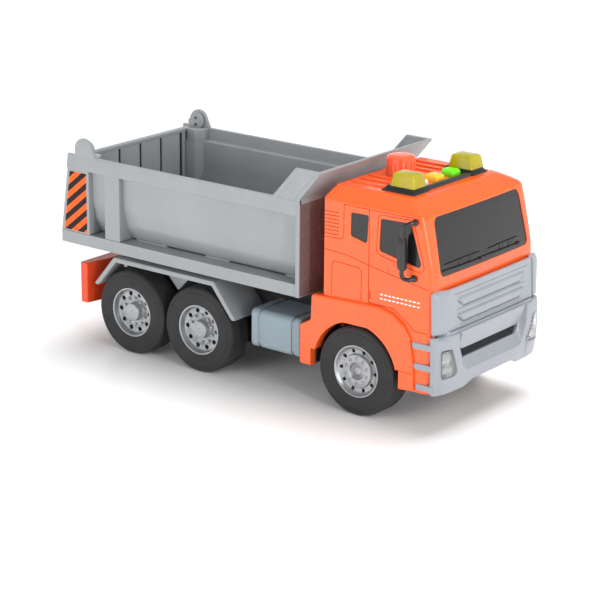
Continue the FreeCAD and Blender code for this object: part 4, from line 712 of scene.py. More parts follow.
def hazard_material():
    """Orange and black slanting stripes on a slightly worn film."""
    shader = Shader("hazard_print")
    shader.set(Coat_Weight=0.1, Coat_Roughness=0.1, IOR=1.5, Specular_IOR_Level=0.2)
    split = shader.tree.nodes.new("ShaderNodeSeparateXYZ")
    shader.link(shader.place, split.inputs[0])
    lean = shader.calculate("MULTIPLY", split.outputs["X"], STRIPE_LEAN)
    rise = shader.calculate("SUBTRACT", split.outputs["Z"], lean)
    stripe = shader.calculate("PINGPONG", rise, STRIPE_PITCH / 2 * MM)
    share = shader.calculate("MULTIPLY", stripe, 2 / (STRIPE_PITCH * MM))
    ink = shader.ramp(share, (0.95, 0.12, 0.012), (0.009, 0.007, 0.007), 0.49, 0.51)
    wear = shader.ramp(shader.noise(160, 5, 0.6), (0.85, 0.85, 0.85), (1, 1, 1), 0.3, 0.55)
    mix = shader.tree.nodes.new("ShaderNodeMix")
    mix.data_type = "RGBA"
    mix.blend_type = "MULTIPLY"
    mix.inputs["Factor"].default_value = 1.0
    shader.link(ink, mix.inputs["A"])
    shader.link(wear, mix.inputs["B"])
    shader.link(mix.outputs["Result"], shader.surface.inputs["Base Color"])
    shader.roughness(shader.noise(200, 4, 0.6), 0.25, 0.42)
    shader.bump(shader.noise(500, 3, 0.5), 0.08, 0.00005)
    return shader.material


def decals():
    outline = [(-137.3, 69.6), (-118.6, 69.6), (-118.6, 106.3), (-132.0, 106.3)]
    right = prism(rounded(outline, 0.5, 3), "XZ", -53.03, -52.8, 0.05, 1)
    left = flipped(right)
    stand_in("hazard_decals", joined(right, left), "tipper", hazard_material())


def base():
    dressed("tipper_base", GREY, 0.5)
    dressed("tipper_hinge_pin", STEEL)


# Chassis and running gear

def chassis():
    dressed("chassis_frame", BLACK, 0.4)
    dressed("rear_bumper", BEAM_RED, 0.5)
    dressed("battery_door", BLACK, 0.3)
    for node in ("chassis_screws", "battery_door_screw"):
        dressed(node, STEEL)
    dressed("battery_contacts", metal("contact_nickel", (0.6, 0.6, 0.56), 0.25))
    for side, _ in SIDES:
        dressed(f"battery_cell_{side}", plastic(f"cell_sleeve_{side}", (0.05, 0.065, 0.12), 0.3))
    for node, label, colour in (("drive_gear", "nylon_drive", (0.72, 0.69, 0.6)),
                                ("idler_gear", "nylon_idler", (0.7, 0.68, 0.58)),
                                ("flywheel_pinion", "nylon_pinion", (0.7, 0.68, 0.6))):
        dressed(node, plastic(label, colour, 0.45, 0.1, 0, 0.1))
    dressed("flywheel", metal("turned_iron", (0.32, 0.32, 0.33), 0.35, (0.2, 1, 1)))
    for node in ("motor_case_lower", "motor_case_upper"):
        dressed(node, BLACK, 0.3)
    dressed("speaker", BLACK)
    dressed("circuit_board", plastic("board_resist", (0.012, 0.09, 0.03), 0.35, 0.2, 0.1))
    dressed("keypad_membrane", rubber("switch_mat", (0.3, 0.3, 0.3), 0.55))


def fender_mesh():
    """A bent mudguard with rounded tips, a gusset between the wheels and a small clip under its rear bend."""
    outline = [(-115, 38.3), (-98.3, 58), (-19.8, 58), (-3, 37.1), (-6.7, 37.1), (-21.5, 55), (-96.6, 55),
               (-111.3, 38.3)]
    strip = prism(rounded(outline, [1.8, 2.2, 2.2, 1.8, 1.8, 1.4, 1.4, 1.8], 4), "XZ", -52, -23, 0.6)
    corners = rounded([(-71.7, 55.2), (-58.7, 41.8), (-45.7, 55.2)], [0.2, 1.0, 0.2], 3)
    gusset = prism(corners, "XZ", -38.5, -23, 0.4)
    hook = rounded([(-96, 55.4), (-91.6, 55.4), (-92.4, 51.8), (-94.6, 51.2)], 0.6, 3)
    clip = prism(hook, "XZ", -46.5, -44.5, 0.3)
    return joined(strip, gusset, clip)


def tank_mesh():
    """A rounded tank in three spans with two sunken straps between them."""
    def span(start, end, inset, edge):
        low, high, outer = 23.6 + inset, 46.6 - inset, -49 + inset
        section = [(-23, low), (-23, high), (outer, high), (outer, low)]
        return prism(rounded(section, [0.1, 0.1, 3.4, 3.4], 6), "YZ", start, end, edge)
    spans = [span(5.9, 11.2, 0, 0.9), span(12.8, 35.2, 0, 0.5), span(36.8, 41.5, 0, 0.9)]
    straps = [span(10.6, 13.4, 0.7, 0.1), span(34.6, 37.4, 0.7, 0.1)]
    return joined(*spans, *straps)


def running_gear():
    for side, sign in SIDES:
        fender = fender_mesh()
        tank = tank_mesh()
        if sign > 0:
            fender, tank = flipped(fender), flipped(tank)
        stand_in(f"rear_fender_{side}", fender, "chassis", GREY, 34)
        stand_in(f"fuel_tank_{side}", tank, "chassis", TANK, 34)


# Cab: a hollow shell built from level outlines

CAB_REAR = 58.8
CAB_HALF = 50.6
CAB_LEVELS = ((22.8, 133.0, 0.0), (56, 133.6, 0.0), (84, 133.5, 0.0), (89.5, 133.0, 0.0), (97, 131.4, 0.0),
              (105, 129.6, 0.0), (113, 127.7, 0.0), (118, 126.4, 0.0), (120.4, 125.5, 0.0),
              (121.5, 124.7, 0.25), (122.3, 123.9, 0.95), (123.4, 122.2, 2.9), (124.7, 120.2, 5.2),
              (125.9, 118.2, 7.4), (126.8, 116.4, 9.1), (127.3, 115.1, 10.2), (127.5, 113.9, 11.2))
ROOF_Z = CAB_LEVELS[-1][0]
FRONT_AXLE = AXLES["front_wheels"]
BUTTON_PITCH = 15.8
CORNER_BACK = 5.8
CORNER_IN = 5.6
CROWN = 0.9


def cab_ring(z, front, narrowing, inset):
    """One level of the cab: straight back, straight sides and a rounded front with a slight crown."""
    half = CAB_HALF - narrowing - inset
    nose = front - inset
    rear = CAB_REAR + inset + narrowing * 0.12
    points = [(rear + 1.2, -half), (rear + 12, -half), (rear + 30, -half), (nose - CORNER_BACK - 10, -half)]
    for step in range(11):
        angle = math.pi / 2 * step / 10
        x = nose - CROWN - CORNER_BACK * (1 - math.sin(angle) ** 0.9)
        points.append((x, -half + CORNER_IN * (1 - math.cos(angle) ** 0.9)))
    flat = half - CORNER_IN
    for step in range(1, 8):
        y = -flat + flat * step / 8
        points.append((nose - CROWN * (y / flat) ** 2, y))
    outline = points + [(nose, 0.0)] + [(x, -y) for x, y in reversed(points)]
    outline += [(rear + 0.35, half - 0.35), (rear, half - 1.2)]
    outline += [(rear, -half + 1.2), (rear + 0.35, -half + 0.35)]
    return [(x, y, z) for x, y in outline]


def cab_form(inset, foot=None):
    """The closed form of the cab, or the same moved inwards with its foot at another height."""
    rings = []
    for level, (z, front, narrowing) in enumerate(CAB_LEVELS):
        height = z if z < 121 else z - inset * min(1, narrowing / 5)
        if level == 0 and foot is not None:
            height = foot
        rings.append(cab_ring(height, front, narrowing, inset))
    return solid(rings)


QUARTER = [(77.3, 102.9), (88.6, 100.4), (89.4, 116.6), (77.5, 116.3)]
DOOR_GLASS = [(96.6, 98.1), (125.4, 92.6), (117.2, 116.9), (97.4, 116.2)]
SCREEN = [(43.4, 87.8), (41.7, 119.5)]


def windows(grow, plane_low, plane_high):
    """Cutters for the two side windows of the right side."""
    made = []
    for outline, radii in ((QUARTER, [1.6, 1.6, 1.2, 1.2]), (DOOR_GLASS, [2.2, 2.2, 1.2, 1.2])):
        shape = shrunk(rounded(outline, radii, 5), -grow) if grow else rounded(outline, radii, 5)
        made.append(prism(shape, "XZ", plane_low, plane_high, 0))
    return made


def screen_cutter(grow):
    outline = rounded(mirrored(SCREEN), [3.2, 4.2, 4.2, 3.2], 6)
    return prism(shrunk(outline, -grow) if grow else outline, "YZ", 118, 138, 0)


def arch_cutter(radius, top, near, far, foot=10.0):
    """The round wheel arch with its flat top."""
    outline = [(FRONT_AXLE + radius, foot)]
    start = math.asin(min(1.0, (top - WHEEL_RADIUS) / radius))
    for step in range(17):
        angle = start * step / 16
        outline.append((FRONT_AXLE + radius * math.cos(angle), WHEEL_RADIUS + radius * math.sin(angle)))
    left = [(2 * FRONT_AXLE - x, z) for x, z in reversed(outline)]
    return prism(outline + left, "XZ", near, far, 0)


def side_grooves():
    """Cutters in the right side for the door seams, frame lines, louvres, tool box and crease."""
    lines = [([(89.7, 119.6), (90.0, 67.6), (107, 67.2), (118, 60), (120.5, 57.4), (129.6, 57.2)], 0.5),
             ([(130.2, 57.5), (130.3, 81), (129.4, 95), (126.6, 108), (121.9, 119.9), (90.4, 119.9),
               (72.6, 119.9), (72.6, 101.6), (71.6, 100.2), (57, 99.4)], 0.42),
             ([(57, 92.4), (66, 92.2), (74.5, 91.7), (90.4, 88.5), (110, 85.1), (129.4, 81.9)], 0.4),
             ([(64.8, 67), (64.8, 84.8), (66.6, 86.8), (83.4, 85.8), (85.0, 84.2), (85.0, 67)], 0.45),
             ([(91.0, 74.4), (91.0, 69.8)], 0.9)]
    surround = rounded([(94.8, 96.2), (127.6, 89.7), (118.8, 118.7), (95.8, 118.3)], [3, 3, 2.2, 2.2], 5)
    tools = [groove(line, width) for line, width in lines]
    tools += [groove([(57, 99.6 + 2.1 * number), (69.3, 99.9 + 2.1 * number)], 0.55) for number in range(1, 8)]
    tools.append(groove(surround + surround[:1], 0.4))
    return tools


def groove(line, width, depth=0.9):
    """A cutter that follows a line over the cab's right side."""
    if line[0] == line[-1]:
        outer = shrunk(line[:-1], -width / 2)
        inner = shrunk(line[:-1], width / 2)
        sections = ((outer, -CAB_HALF + depth), (outer, -CAB_HALF - 1), (inner, -CAB_HALF - 1),
                    (inner, -CAB_HALF + depth))
        return solid([[(x, y, z) for x, z in outline] for outline, y in sections], capped=False)
    return prism(ribbon(line, width), "XZ", -CAB_HALF - 1, -CAB_HALF + depth, 0)


def flare_mesh():
    """The flared arch of the right side, with soft edges and a split line near its foot."""
    outline = [(44, 22.8), (44, 46), (51.4, 50), (51.9, 65.4), (98.3, 67.1), (107.3, 64.8), (114.5, 59.9),
               (119.0, 52.9), (121.6, 38), (122.1, 23.2), (112.3, 22.5)]
    radii = [1.7, 1.7, 1.7, 2.2, 5, 5, 6, 6, 8, 1.7, 1.7]
    flare = prism(rounded(outline, radii, 5), "XZ", -52.8, -46.5, 1.4, 5)
    split = prism(ribbon([(111, 33.6), (124, 33.2)], 0.4), "XZ", -54, -52.3, 0)
    low = prism(rectangle(52, 10, 112.6, 33.4), "XZ", -60, -40, 0)
    return carve(carve(flare, arch_cutter(28.7, 53.3, -60, -40)), low, split)


def cab():
    """The orange shell with everything cut into it, its roof ribs and its flared arches."""
    shell = carve(cab_form(0), cab_form(2.2, 20))
    tools = [screen_cutter(0)]
    for mirror in (False, True):
        side = windows(0, -52, -47) + side_grooves() + [arch_cutter(30.5, 54, -60, -33)]
        tools += [flipped(tool) for tool in side] if mirror else side
    chassis_room = prism(rectangle(58, -31.3, 62, 31.3), "XY", 10, 34, 0)
    scoop_room = prism(rectangle(-34, 34, 34, 56), "YZ", 130.2, 140, 0)
    shell = carve(shell, joined(*tools, chassis_room, scoop_room))
    holes = [prism(rounded(rectangle(91.9, y - 5, 102.3, y + 5), 2.1, 4), "XY", 120, 130, 0)
             for y in (-BUTTON_PITCH, 0, BUTTON_PITCH)]
    rim = rounded(rectangle(60.6, -39.6, 111.5, 39.6), [2, 4, 4, 2], 5)
    border = prism(ribbon(rim + rim[:1], 0.45), "XY", ROOF_Z - 0.3, ROOF_Z + 1.1, 0)
    shell = carve(shell, joined(*holes, border))
    ribs = [prism(rounded(rectangle(62.5, y - 1.2, 86, y + 1.2), 1.1, 4), "XY", 126.8, 128.35, 0.35)
            for y in (-30.5, -22.5, -14.5, 14.5, 22.5, 30.5)]
    whole = joined(shell, *ribs, both(flare_mesh()))
    stand_in("cab_shell", whole, "chassis", ORANGE, 30)


def arch_liners():
    """Black liners that close the wheel arches."""
    for side, sign in SIDES:
        liner = carve(arch_cutter(31.6, 55, -47.5, -31.2, 23.4), arch_cutter(30.2, 53.6, -48, -32.6))
        if sign > 0:
            liner = flipped(liner)
        piece(f"arch_liner_{side}", liner, "chassis", BLACK)


def glazing():
    """Panes just below the surface, each cut from an inner skin of the cab."""
    skin = carve(cab_form(0.45), cab_form(1.7, 20))
    pane = combine(skin.copy(), screen_cutter(-0.06), "INTERSECT")
    stand_in("windscreen", pane, "chassis", SMOKED, 30)
    for side, sign in SIDES:
        panes = combine(skin.copy(), joined(*windows(-0.06, -52, -46)), "INTERSECT")
        if sign > 0:
            panes = flipped(panes)
        stand_in(f"side_glazing_{side}", panes, "chassis", SMOKED, 30)
    skin.free()


def front_x(z):
    """The cab's front at the middle, at one height."""
    for (low, x_low, _), (high, x_high, _) in zip(CAB_LEVELS, CAB_LEVELS[1:]):
        if low <= z <= high:
            return x_low + (x_high - x_low) * (z - low) / (high - low)
    return CAB_LEVELS[-1][1]


def on_screen(y, z, lift):
    """A point just in front of the windscreen."""
    return (front_x(z) - CROWN * (y / (CAB_HALF - CORNER_IN)) ** 2 + lift, y, z)


def on_glass(points, radius, rounds=6):
    """A thin rod through points (along, up, lift) over the windscreen."""
    return tube([on_screen(y, z, lift) for y, z, lift in points], radius, 8, rounds)


def wipers():
    """Two wipers along the foot of the windscreen: a straight arm, and a blade above it on short links."""
    parts = []
    for pivot, tip, start, end in ((-4.8, -40.2, -37.2, -5.2), (33.8, -2.0, 3.8, 34.0)):
        parts.append(on_glass([(pivot, 90.5, 0.5), ((pivot + tip) / 2, 90.7, 0.75), (tip, 91.0, 0.4)], 0.36))
        parts.append(on_glass([(start, 93.9, 0.3), ((start + end) / 2, 94.2, 0.35), (end, 94.1, 0.3)], 0.3))
        for share in (0.42, 0.72):
            y = start + (end - start) * share
            link = [(y - 0.9, 91.0, 0.55), (y - 0.2, 92.6, 0.6), (y + 0.8, 94.1, 0.35)]
            parts.append(on_glass(link, 0.18, 4))
        cap = lathe([(0, -0.6), (1.05, -0.6), (1.05, 0.5), (0.8, 0.85), (0, 0.85)], 20)
        x, y, z = on_screen(pivot, 90.3, 0)
        parts.append(moved(cap, x, y, z, turn=("Z", -90)))
    piece("wipers", joined(*parts), "chassis", TRIM)


def marking():
    """Plain white dashes on the doors, two rows in place of printed lettering."""
    parts = []
    for number in range(10):
        start = 97.8 + 2.72 * number
        for low in (70.9, 73.3):
            dash = rounded(rectangle(start, low, start + 1.9, low + 0.75), 0.3, 2)
            parts.append(prism(dash, "XZ", -CAB_HALF - 0.06, -CAB_HALF + 0.05, 0.02, 1))
    paint = plastic("marking_white", (0.8, 0.8, 0.8), 0.35, 0.08, 0.1)
    piece("door_marking", both(joined(*parts)), "chassis", paint)


# Front panel and bumper: modelled flat as (depth, along, up), then bent round a curve in plan

PANEL_PLAN = [(137.3, 0), (137.3, 20), (137.1, 34), (136.7, 42), (135.5, 47.8), (132.9, 50.4), (128.0, 50.9)]
BUMPER_PLAN = [(139.9, 0), (139.9, 20), (139.7, 34), (139.2, 42), (137.8, 47.8), (134.7, 51.0), (126.0, 51.9)]


def plan_line(plan):
    """Points along half of a plan curve with their distance from the middle."""
    half = [Vector(point) for point in plan]
    whole = [Vector((p.x, -p.y)) for p in reversed(half[1:])] + half
    path = smooth_path(whole, 24)
    path = [point for point in path if point.y >= -1e-6]
    distance = 0.0
    line = [(0.0, path[0])]
    for back, point in zip(path, path[1:]):
        distance += (point - back).length
        line.append((distance, point))
    return line


def bent(mesh, plan, step=0.9, tilt=0.0, tilt_from=0.0):
    """Bend a flat mesh round a plan curve. Its x is depth outwards and its y the distance along the curve."""
    reach = max(abs(vert.co.y) for vert in mesh.verts)
    count = int(reach / step)
    sliced(mesh, "Y", [number * step for number in range(-count, count + 1)])
    line = plan_line(plan)
    for vert in mesh.verts:
        place, normal = on_line(line, abs(vert.co.y))
        side = 1 if vert.co.y >= 0 else -1
        spot = place + normal * vert.co.x
        vert.co = (spot.x + tilt * (vert.co.z - tilt_from), spot.y * side, vert.co.z)
    return mesh


def on_line(line, along):
    """The point and outward normal at one distance along a plan curve."""
    for (low, start), (high, end) in zip(line, line[1:]):
        if along <= high:
            break
    way = (end - start).normalized()
    return start + way * (along - low), Vector((way.y, -way.x))


def slab(outline, back, front, edge=0.4, steps=3):
    """A flat plate in along and up, between two depths."""
    return prism(outline, "YZ", back, front, edge, steps)


END_REACH = 3.2
END_SINK = 2.3
END_CUTS = (0, 0.8, 1.6, 2.4)
END_EDGES = (40.5, 42.2, 43.9, 45.5, 50.0, 50.8, 51.6)


def soft_ends(mesh, low, high):
    """Round a flat moulding back, above one height and below another, where it turns the truck's corners."""
    sliced(mesh, "Z", [low - over for over in END_CUTS[::-1]] + [high + over for over in END_CUTS])
    sliced(mesh, "Y", [edge * side for edge in END_EDGES for side in (-1, 1)])
    for vert in mesh.verts:
        along = abs(vert.co.y)
        share = max(0.0, min(1.0, (along - END_EDGES[0]) / 5, (END_EDGES[-1] - along) / 1.6))
        over = max(0.0, vert.co.z - high, low - vert.co.z) / END_REACH
        vert.co.x -= END_SINK * share * over ** 2
    return mesh


def panel():
    """The grey panel: plate, corner deflectors and two embossed slats above undercut lines."""
    plate = slab(rounded(mirrored([(51.8, 56.1), (52.6, 81.1)]), 0.8, 5), -1.8, 0, 0.35, 4)
    cuts, slats = [], []
    for top in (75.4, 66.4):
        band = rounded(mirrored([(34.6, top), (28.2, top - 5.4)]), [0.9, 2.2, 2.2, 0.9], 4)
        slats.append(lofted_plate(band, 0.0, 1.0, 1.1))
        under = rounded(mirrored([(34.9, top - 0.4), (28.3, top - 5.75)]), [0.9, 2.4, 2.4, 0.9], 4)
        line = sorted((point for point in under if point[1] < top - 1.2), key=lambda point: point[0])
        cuts.append(slab(ribbon(line, 0.55), -0.75, 1, 0))
    for low in (77.6, 68.7, 59.6):
        half = 36.5 - (77.6 - low) * 0.3
        cuts.append(slab(ribbon([(-half, low), (half, low)], 0.35), -0.35, 1, 0))
    plate = carve(plate, *cuts)
    corner = rounded([(43.6, 57.6), (52.4, 57.2), (52.9, 80.7), (41.6, 80.9)], [1.2, 1.2, 1.0, 1.2], 6)
    deflector = slab(corner, -1.2, 0.95, 0.7, 4)
    flat = soft_ends(joined(plate, both(deflector), *slats), 59.0, 77.9)
    whole = bent(flat, PANEL_PLAN, tilt=-0.012, tilt_from=56)
    stand_in("front_panel", whole, "chassis", FRONT_GREY, 32)


def lofted_plate(outline, base, height, slope):
    """A raised plate with sloping sides and a softened top."""
    sections = ((-0.15, base - 0.4), (0.0, base), (slope * 0.75, base + height * 0.8),
                (slope * 0.95, base + height * 0.96), (slope * 1.25, base + height))
    return solid([[(level, y, z) for y, z in shrunk(outline, inset)] for inset, level in sections])


SCOOP_ROUND = [0, 3, 4.5, 4.5, 3, 0]
SCOOP_RINGS = ((0.0, [(33.7, 56.0), (33.6, 47.5), (28.4, 33.1)]),
               (-2.6, [(32.7, 56.0), (32.2, 47.5), (28.0, 36.9)]),
               (-3.6, [(32.0, 56.0), (31.4, 47.5), (27.6, 39.4)]),
               (-5.2, [(32.0, 56.0), (31.4, 47.5), (27.6, 39.6)]))
NET_DEPTH = -4.3
TONGUE_LEAN = 0.26
CHIN_TOP = 30.5
CHIN_CURVE = 0.028
LAMP = [(48.9, 49.2), (40.2, 48.4), (34.4, 32.7), (48.2, 32.0)]
LAMP_ROUND = [2.0, 2.2, 2.6, 1.8]


def scoop_outline(half):
    return rounded(mirrored(half), SCOOP_ROUND, 6)


def lamp_outline(sign):
    return rounded([(y * sign, z) for y, z in LAMP], LAMP_ROUND, 5)


def bumper():
    """The bumper with its scoop, sloping shelf, central tongue, lamp bezels, chin and side steps."""
    half = [(19.7, 25.7), (26.5, 22.7), (54.6, 22.7), (55.8, 56.0)]
    outline = rounded(mirrored(half), [1.5, 1.5, 3, 1.2, 1.2, 3, 1.5, 1.5], 6)
    plate = slab(outline, -2.4, 0, 0.6, 5)
    openings = [slab(scoop_outline([(y, z + 2 if z > 50 else z) for y, z in SCOOP_RINGS[0][1]]), -5, 3, 0, 1)]
    openings += [slab(lamp_outline(sign), -5, 3, 0, 1) for sign in (-1, 1)]
    shell = carve(plate, *openings)
    walls = funnel([(scoop_outline(half_ring), depth) for depth, half_ring in SCOOP_RINGS])
    tongue = slab(rounded(mirrored([(31.9, 56.0), (30.9, 44.9)]), [0, 4.5, 4.5, 0], 7), -5.2, 0.0, 0.3, 4)
    for vert in tongue.verts:
        if vert.co.x > -2:
            vert.co.x -= TONGUE_LEAN * (56.0 - vert.co.z)
    filler = slab(mirrored([(50, 54.6), (50, 57.6)]), -1.7, -1.2, 0)
    lamps = [lamp_outline(sign) for sign in (-1, 1)]
    bezels = [funnel([(lamp, 0.02), (shrunk(lamp, 0.6), -1.6)]) for lamp in lamps]
    body = bent(soft_ends(joined(shell, walls, tongue, filler, *bezels), 10, 52.8), BUMPER_PLAN)
    for vert in body.verts:
        sink = max(0.0, CHIN_TOP - vert.co.z)
        if vert.co.x > 128:
            vert.co.x -= CHIN_CURVE * sink ** 2
    steps = []
    for rear, low in ((122.9, 24.5), (121.3, 36.2), (119.9, 47.8)):
        bar = rounded(rectangle(rear, low, 134, low + 3.7), [1.6, 0, 0, 1.6], 5)
        steps.append(prism(bar, "XZ", -51.5, -49.5, 0.5, 4))
    whole = joined(body, both(joined(*steps)))
    stand_in("front_bumper", whole, "chassis", FRONT_GREY, 32)


def funnel(sections, thick=0.35):
    """A thin wall through several (outline, depth) sections, closed into a solid band."""
    back = [(shrunk(outline, -thick), depth) for outline, depth in reversed(sections)]
    return solid([[(depth, y, z) for y, z in outline] for outline, depth in sections + back], capped=False)


def honeycomb(width, low, high, pitch):
    """A wire net of hexagons in along and up."""
    mesh = bmesh.new()
    side = pitch / math.sqrt(3)
    rows = int((high - low) / (side * 1.5)) + 1
    columns = int(width * 2 / pitch)
    for row in range(rows):
        for column in range(columns):
            y = -width + column * pitch + (row % 2) * pitch / 2
            z = low + row * side * 1.5
            corners = []
            for corner in range(6):
                angle = math.radians(30 + 60 * corner)
                corners.append(mesh.verts.new((0, y + side * math.cos(angle), z + side * math.sin(angle))))
            mesh.faces.new(corners)
    bmesh.ops.remove_doubles(mesh, verts=mesh.verts, dist=0.02)
    bmesh.ops.wireframe(mesh, faces=mesh.faces[:], thickness=0.4, use_replace=True, use_even_offset=False,
                        use_boundary=True)
    return mesh


def grille():
    """The black net under the tongue, its ends turned forward, in front of a dark backing."""
    net = moved(honeycomb(26.4, 39.6, 46.5, 1.6), x=NET_DEPTH)
    back = slab(rounded(mirrored([(29.5, 55.0), (27.2, 39.2)]), 1, 3), NET_DEPTH - 1.2, NET_DEPTH - 0.5, 0.1, 1)
    for vert in net.verts:
        vert.co.x += 0.14 * max(0.0, abs(vert.co.y) - 20.5)
    stand_in("bumper_mesh", bent(net, BUMPER_PLAN), "chassis", NET, 30)
    piece("bumper_mesh_backing", bent(back, BUMPER_PLAN), "chassis", NET_BACK)


def headlights():
    """Clear lamps: a plated reflector with two bowls behind a bevelled lens."""
    for side, sign in SIDES:
        outline = lamp_outline(sign)
        lens = bent(slab(shrunk(outline, 0.62), -1.3, -0.15, 0.45, 4), BUMPER_PLAN)
        stand_in(f"headlight_{side}", lens, "chassis", CLEAR, 40)
        bowls = []
        for y, z, radius in ((44.3, 43.0, 3.5), (42.6, 36.2, 3.3)):
            bowl = lathe([(0, -2.2), (radius * 0.4, -2.1), (radius * 0.75, -1.5), (radius, -0.4),
                          (radius + 0.35, -0.3), (radius + 0.4, -2.6), (0, -2.6)], 32)
            bowls.append(moved(bowl, -1.35, y * sign, z, turn=("Z", -90)))
        backing = slab(shrunk(outline, -0.5), -3.9, -3.3, 0.2, 1)
        reflector = bent(joined(backing, *bowls), BUMPER_PLAN)
        piece(f"headlight_reflector_{side}", reflector, "chassis", RIM)


# Roof equipment

def loaf(low, high, z_low, z_high, lean, radius, top_round):
    """A tapered block with rounded corners and a rounded top: low and high are (x, y) corners of its foot."""
    levels = [(0.0, z_low), (lean * 0.5, (z_low + z_high - top_round) / 2), (lean, z_high - top_round)]
    for step in range(1, 5):
        angle = math.pi / 2 * step / 4
        levels.append((lean + top_round * (1 - math.cos(angle)), z_high - top_round * (1 - math.sin(angle))))
    rings = []
    for inset, level in levels:
        corners = rectangle(low[0] + inset, low[1] + inset, high[0] - inset, high[1] - inset)
        rings.append([(x, y, level) for x, y in rounded(corners, radius, 5)])
    return solid(rings)


def light_bar():
    """Two bevelled pads and the narrow bar between them."""
    pad = loaf((87.2, 20.9), (108.6, 36.1), 127.45, 130.5, 1.8, 1.0, 0.4)
    foot = loaf((86.4, 20.9), (109.0, 36.6), 127.3, 128.3, 0.3, 1.2, 0.3)
    link = loaf((103.6, -22), (107.6, 22), 127.3, 129.4, 0.5, 0.5, 0.4)
    stand_in("light_bar", joined(both(joined(pad, foot)), link), "chassis", TRIM, 30)


def lenses():
    for side, sign in SIDES:
        lens = loaf((91.0, 21.6), (107.2, 34.6), 130.45, 137.65, 1.1, 1.3, 1.4)
        ribs = [loaf((93.2 + 2.6 * number, 23.8), (94.2 + 2.6 * number, 32.4), 131.2, 135.4, 0.1, 0.3, 0.3)
                for number in range(5)]
        if sign < 0:
            lens, ribs = flipped(lens), [flipped(rib) for rib in ribs]
        stand_in(f"amber_lens_{side}", lens, "chassis", AMBER, 40)
        piece(f"amber_prisms_{side}", joined(*ribs), "chassis", AMBER, (), 40)


def buttons():
    for number, colour in enumerate(("white", "yellow", "green")):
        y = BUTTON_PITCH * (number - 1)
        cap = loaf((92.2, y - 4.7), (102.0, y + 4.7), 124.5, 131.25, 0.35, 2.0, 1.7)
        skirt = loaf((91.35, y - 5.55), (102.85, y + 5.55), 124.4, 125.25, 0, 1.2, 0.1)
        name = f"button_{colour}"
        stand_in(name, joined(cap, skirt), name, BUTTONS[colour], 40)


BEACON_X = 74.2
FLUTES = 16
FLUTE_DEPTH = 0.16


def beacon():
    """A fluted drum with a bevelled, slightly domed top."""
    rings = []
    for radius, z in ((8.5, 127.5), (8.5, 128.6), (8.3, 129.0), (8.25, 136.6), (8.0, 137.4), (7.4, 138.1),
                      (6.6, 138.4), (3.5, 138.55)):
        ring = []
        for step in range(96):
            angle = 2 * math.pi * step / 96
            flute = FLUTE_DEPTH * math.cos(FLUTES * angle) if 128.8 < z < 137 else 0
            reach = radius + flute - (FLUTE_DEPTH if flute else 0)
            ring.append((BEACON_X + reach * math.cos(angle), reach * math.sin(angle), z))
        rings.append(ring)
    stand_in("beacon_dome", solid(rings), "chassis", BEACON, 40)


MIRROR_LEVELS = ((91.4, 113.5, 116.4, -53.9, -56.2), (92.4, 112.7, 117.1, -53.1, -56.9),
                 (96, 112.5, 117.3, -52.9, -57.15), (105, 112.6, 116.9, -52.9, -57.15),
                 (109.0, 113.0, 116.5, -53.0, -57.0), (109.9, 113.6, 116.0, -53.7, -56.4))


def mirror_mesh():
    """Tall mirror head on two curved arms, with ball mounts on the cab's pillar."""
    rings = []
    for z, x_low, x_high, y_in, y_out in MIRROR_LEVELS:
        outline = rounded([(x_low, y_out), (x_high, y_out + 0.9), (x_high, y_in), (x_low, y_in)], 0.8, 4)
        rings.append([(x, y, z) for x, y in outline])
    upper = tube([(115.0, -55.1, 108.4), (114.9, -55.5, 112.3), (115.9, -55.5, 115.6), (118.0, -54.4, 117.4),
                  (120.2, -51.5, 118.0), (120.6, -49.2, 118.0)], 1.15, 16)
    lower = tube([(115.2, -55.1, 93.2), (115.0, -55.4, 89.6), (116.0, -55.2, 87.3), (118.2, -54.2, 86.5),
                  (120.2, -51.8, 86.8), (120.8, -49.4, 86.9)], 1.15, 16)
    mounts = [ball(120.3, -51.3, 118.0, 1.9), ball(120.3, -51.5, 86.9, 2.0)]
    return joined(solid(rings), upper, lower, *mounts)


def ball(x, y, z, radius):
    """A small ball mount with a flat seat."""
    profile = []
    for step in range(13):
        angle = math.pi * step / 12 - math.pi / 2
        profile.append((max(0.0, radius * math.cos(angle)), radius * 0.85 * math.sin(angle)))
    return moved(lathe(profile, 24), x, y, z)


def mirrors():
    for side, sign in SIDES:
        mesh = mirror_mesh()
        if sign > 0:
            mesh = flipped(mesh)
        stand_in(f"mirror_{side}", mesh, "chassis", TRIM, 35)


# Stage, light and camera

FLOOR_FLAT = 1300
FLOOR_RISE = 0.00013
FLOOR_RINGS = 24
FLOOR_STEP = 200
FLOOR_SIDES = 72


def stage():
    """A pale seamless floor with a faint gloss, which rises gently far away from the truck."""
    mesh = bmesh.new()
    rings = []
    angles = [math.tau * turn / FLOOR_SIDES for turn in range(FLOOR_SIDES)]
    for step in range(FLOOR_RINGS):
        radius = FLOOR_STEP * (step + 1)
        height = FLOOR_RISE * max(0, radius - FLOOR_FLAT) ** 2
        ring = [(radius * math.cos(angle), radius * math.sin(angle), height) for angle in angles]
        rings.append([mesh.verts.new(point) for point in ring])
    stitch(mesh, rings, closed=True)
    mesh.faces.new(rings[0])
    bmesh.ops.recalc_face_normals(mesh, faces=mesh.faces[:])
    floor = smooth_object("floor", mesh)
    shader = Shader("floor_sweep")
    shader.set(Base_Color=(0.9, 0.9, 0.9, 1), Roughness=0.2, Specular_IOR_Level=0.15)
    floor.data.materials.append(shader.material)
    bpy.context.scene.view_settings.view_transform = "Standard"


def aimed(name, light, place, aim, glossy):
    """A light in the scene that points from one place to another, in millimetres."""
    item = shown(bpy.data.objects.new(name, light))
    item.location = Vector(place) * MM
    item.rotation_euler = (Vector(aim) - Vector(place)).to_track_quat("-Z", "Y").to_euler()
    item.visible_glossy = glossy


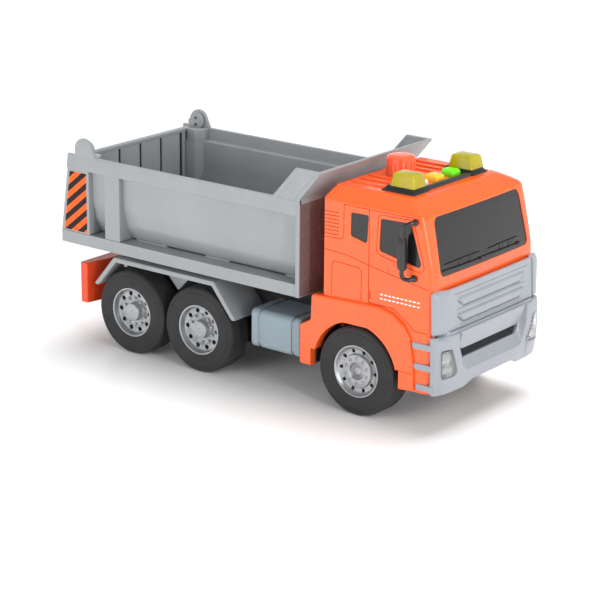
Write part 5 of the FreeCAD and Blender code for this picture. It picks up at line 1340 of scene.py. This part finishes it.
def area_light(name, place, aim, size, power, glossy=False):
    light = bpy.data.lights.new(name, "AREA")
    light.shape = "RECTANGLE"
    light.size, light.size_y = size[0] * MM, size[1] * MM
    light.energy = power
    aimed(name, light, place, aim, glossy)


def lighting():
    """A white studio: a broad sun, a strip whose reflection shows on the front, and two soft fills."""
    world = bpy.data.worlds.new("studio")
    world.use_nodes = True
    background = world.node_tree.nodes["Background"]
    background.inputs["Color"].default_value = (1, 1, 1, 1)
    background.inputs["Strength"].default_value = 0.36
    bpy.context.scene.world = world
    overhead = bpy.data.lights.new("overhead", "SUN")
    overhead.energy = 2.7
    overhead.angle = math.radians(42)
    aimed("overhead", overhead, (0, 0, 0), (0.06, -0.3, -1), glossy=False)
    area_light("front_strip", (760, -330, 400), (90, 0, 60), (24, 620), 2.3, glossy=True)
    area_light("front_fill", (820, 150, 330), (90, 0, 60), (500, 500), 2.0)
    area_light("side_fill", (-200, -900, 230), (-20, 0, 60), (600, 420), 4.0)


LENS = 125.8
AZIMUTH = 37.88
ELEVATION = 17.58
ROLL = 0.47
TARGET = Vector((3.6, 0, 39.5))
DISTANCE = 1243
SHIFT = (-0.0006, -0.0014)


def camera():
    """The photo's view: over the right front corner, from a distance and with a long lens."""
    azimuth, elevation, roll = map(math.radians, (AZIMUTH, ELEVATION, ROLL))
    back = Vector((math.sin(azimuth) * math.cos(elevation), -math.cos(azimuth) * math.cos(elevation),
                   math.sin(elevation)))
    right = Vector((math.cos(azimuth), math.sin(azimuth), 0))
    up = back.cross(right)
    turned_right = right * math.cos(roll) + up * math.sin(roll)
    turned_up = up * math.cos(roll) - right * math.sin(roll)
    data = bpy.data.cameras.new("camera")
    data.lens = LENS
    data.sensor_width = 36
    data.clip_start = 0.01
    data.shift_x, data.shift_y = SHIFT
    item = shown(bpy.data.objects.new("camera", data))
    axes = Matrix((turned_right, turned_up, back)).transposed().to_4x4()
    axes.translation = (TARGET + back * DISTANCE) * MM
    item.matrix_world = axes
    bpy.context.scene.camera = item


camera()
stage()
lighting()
wheels()
tub()
tailgate()
decals()
base()
chassis()
running_gear()
cab()
arch_liners()
glazing()
wipers()
marking()
panel()
bumper()
grille()
headlights()
light_bar()
lenses()
buttons()
beacon()
mirrors()
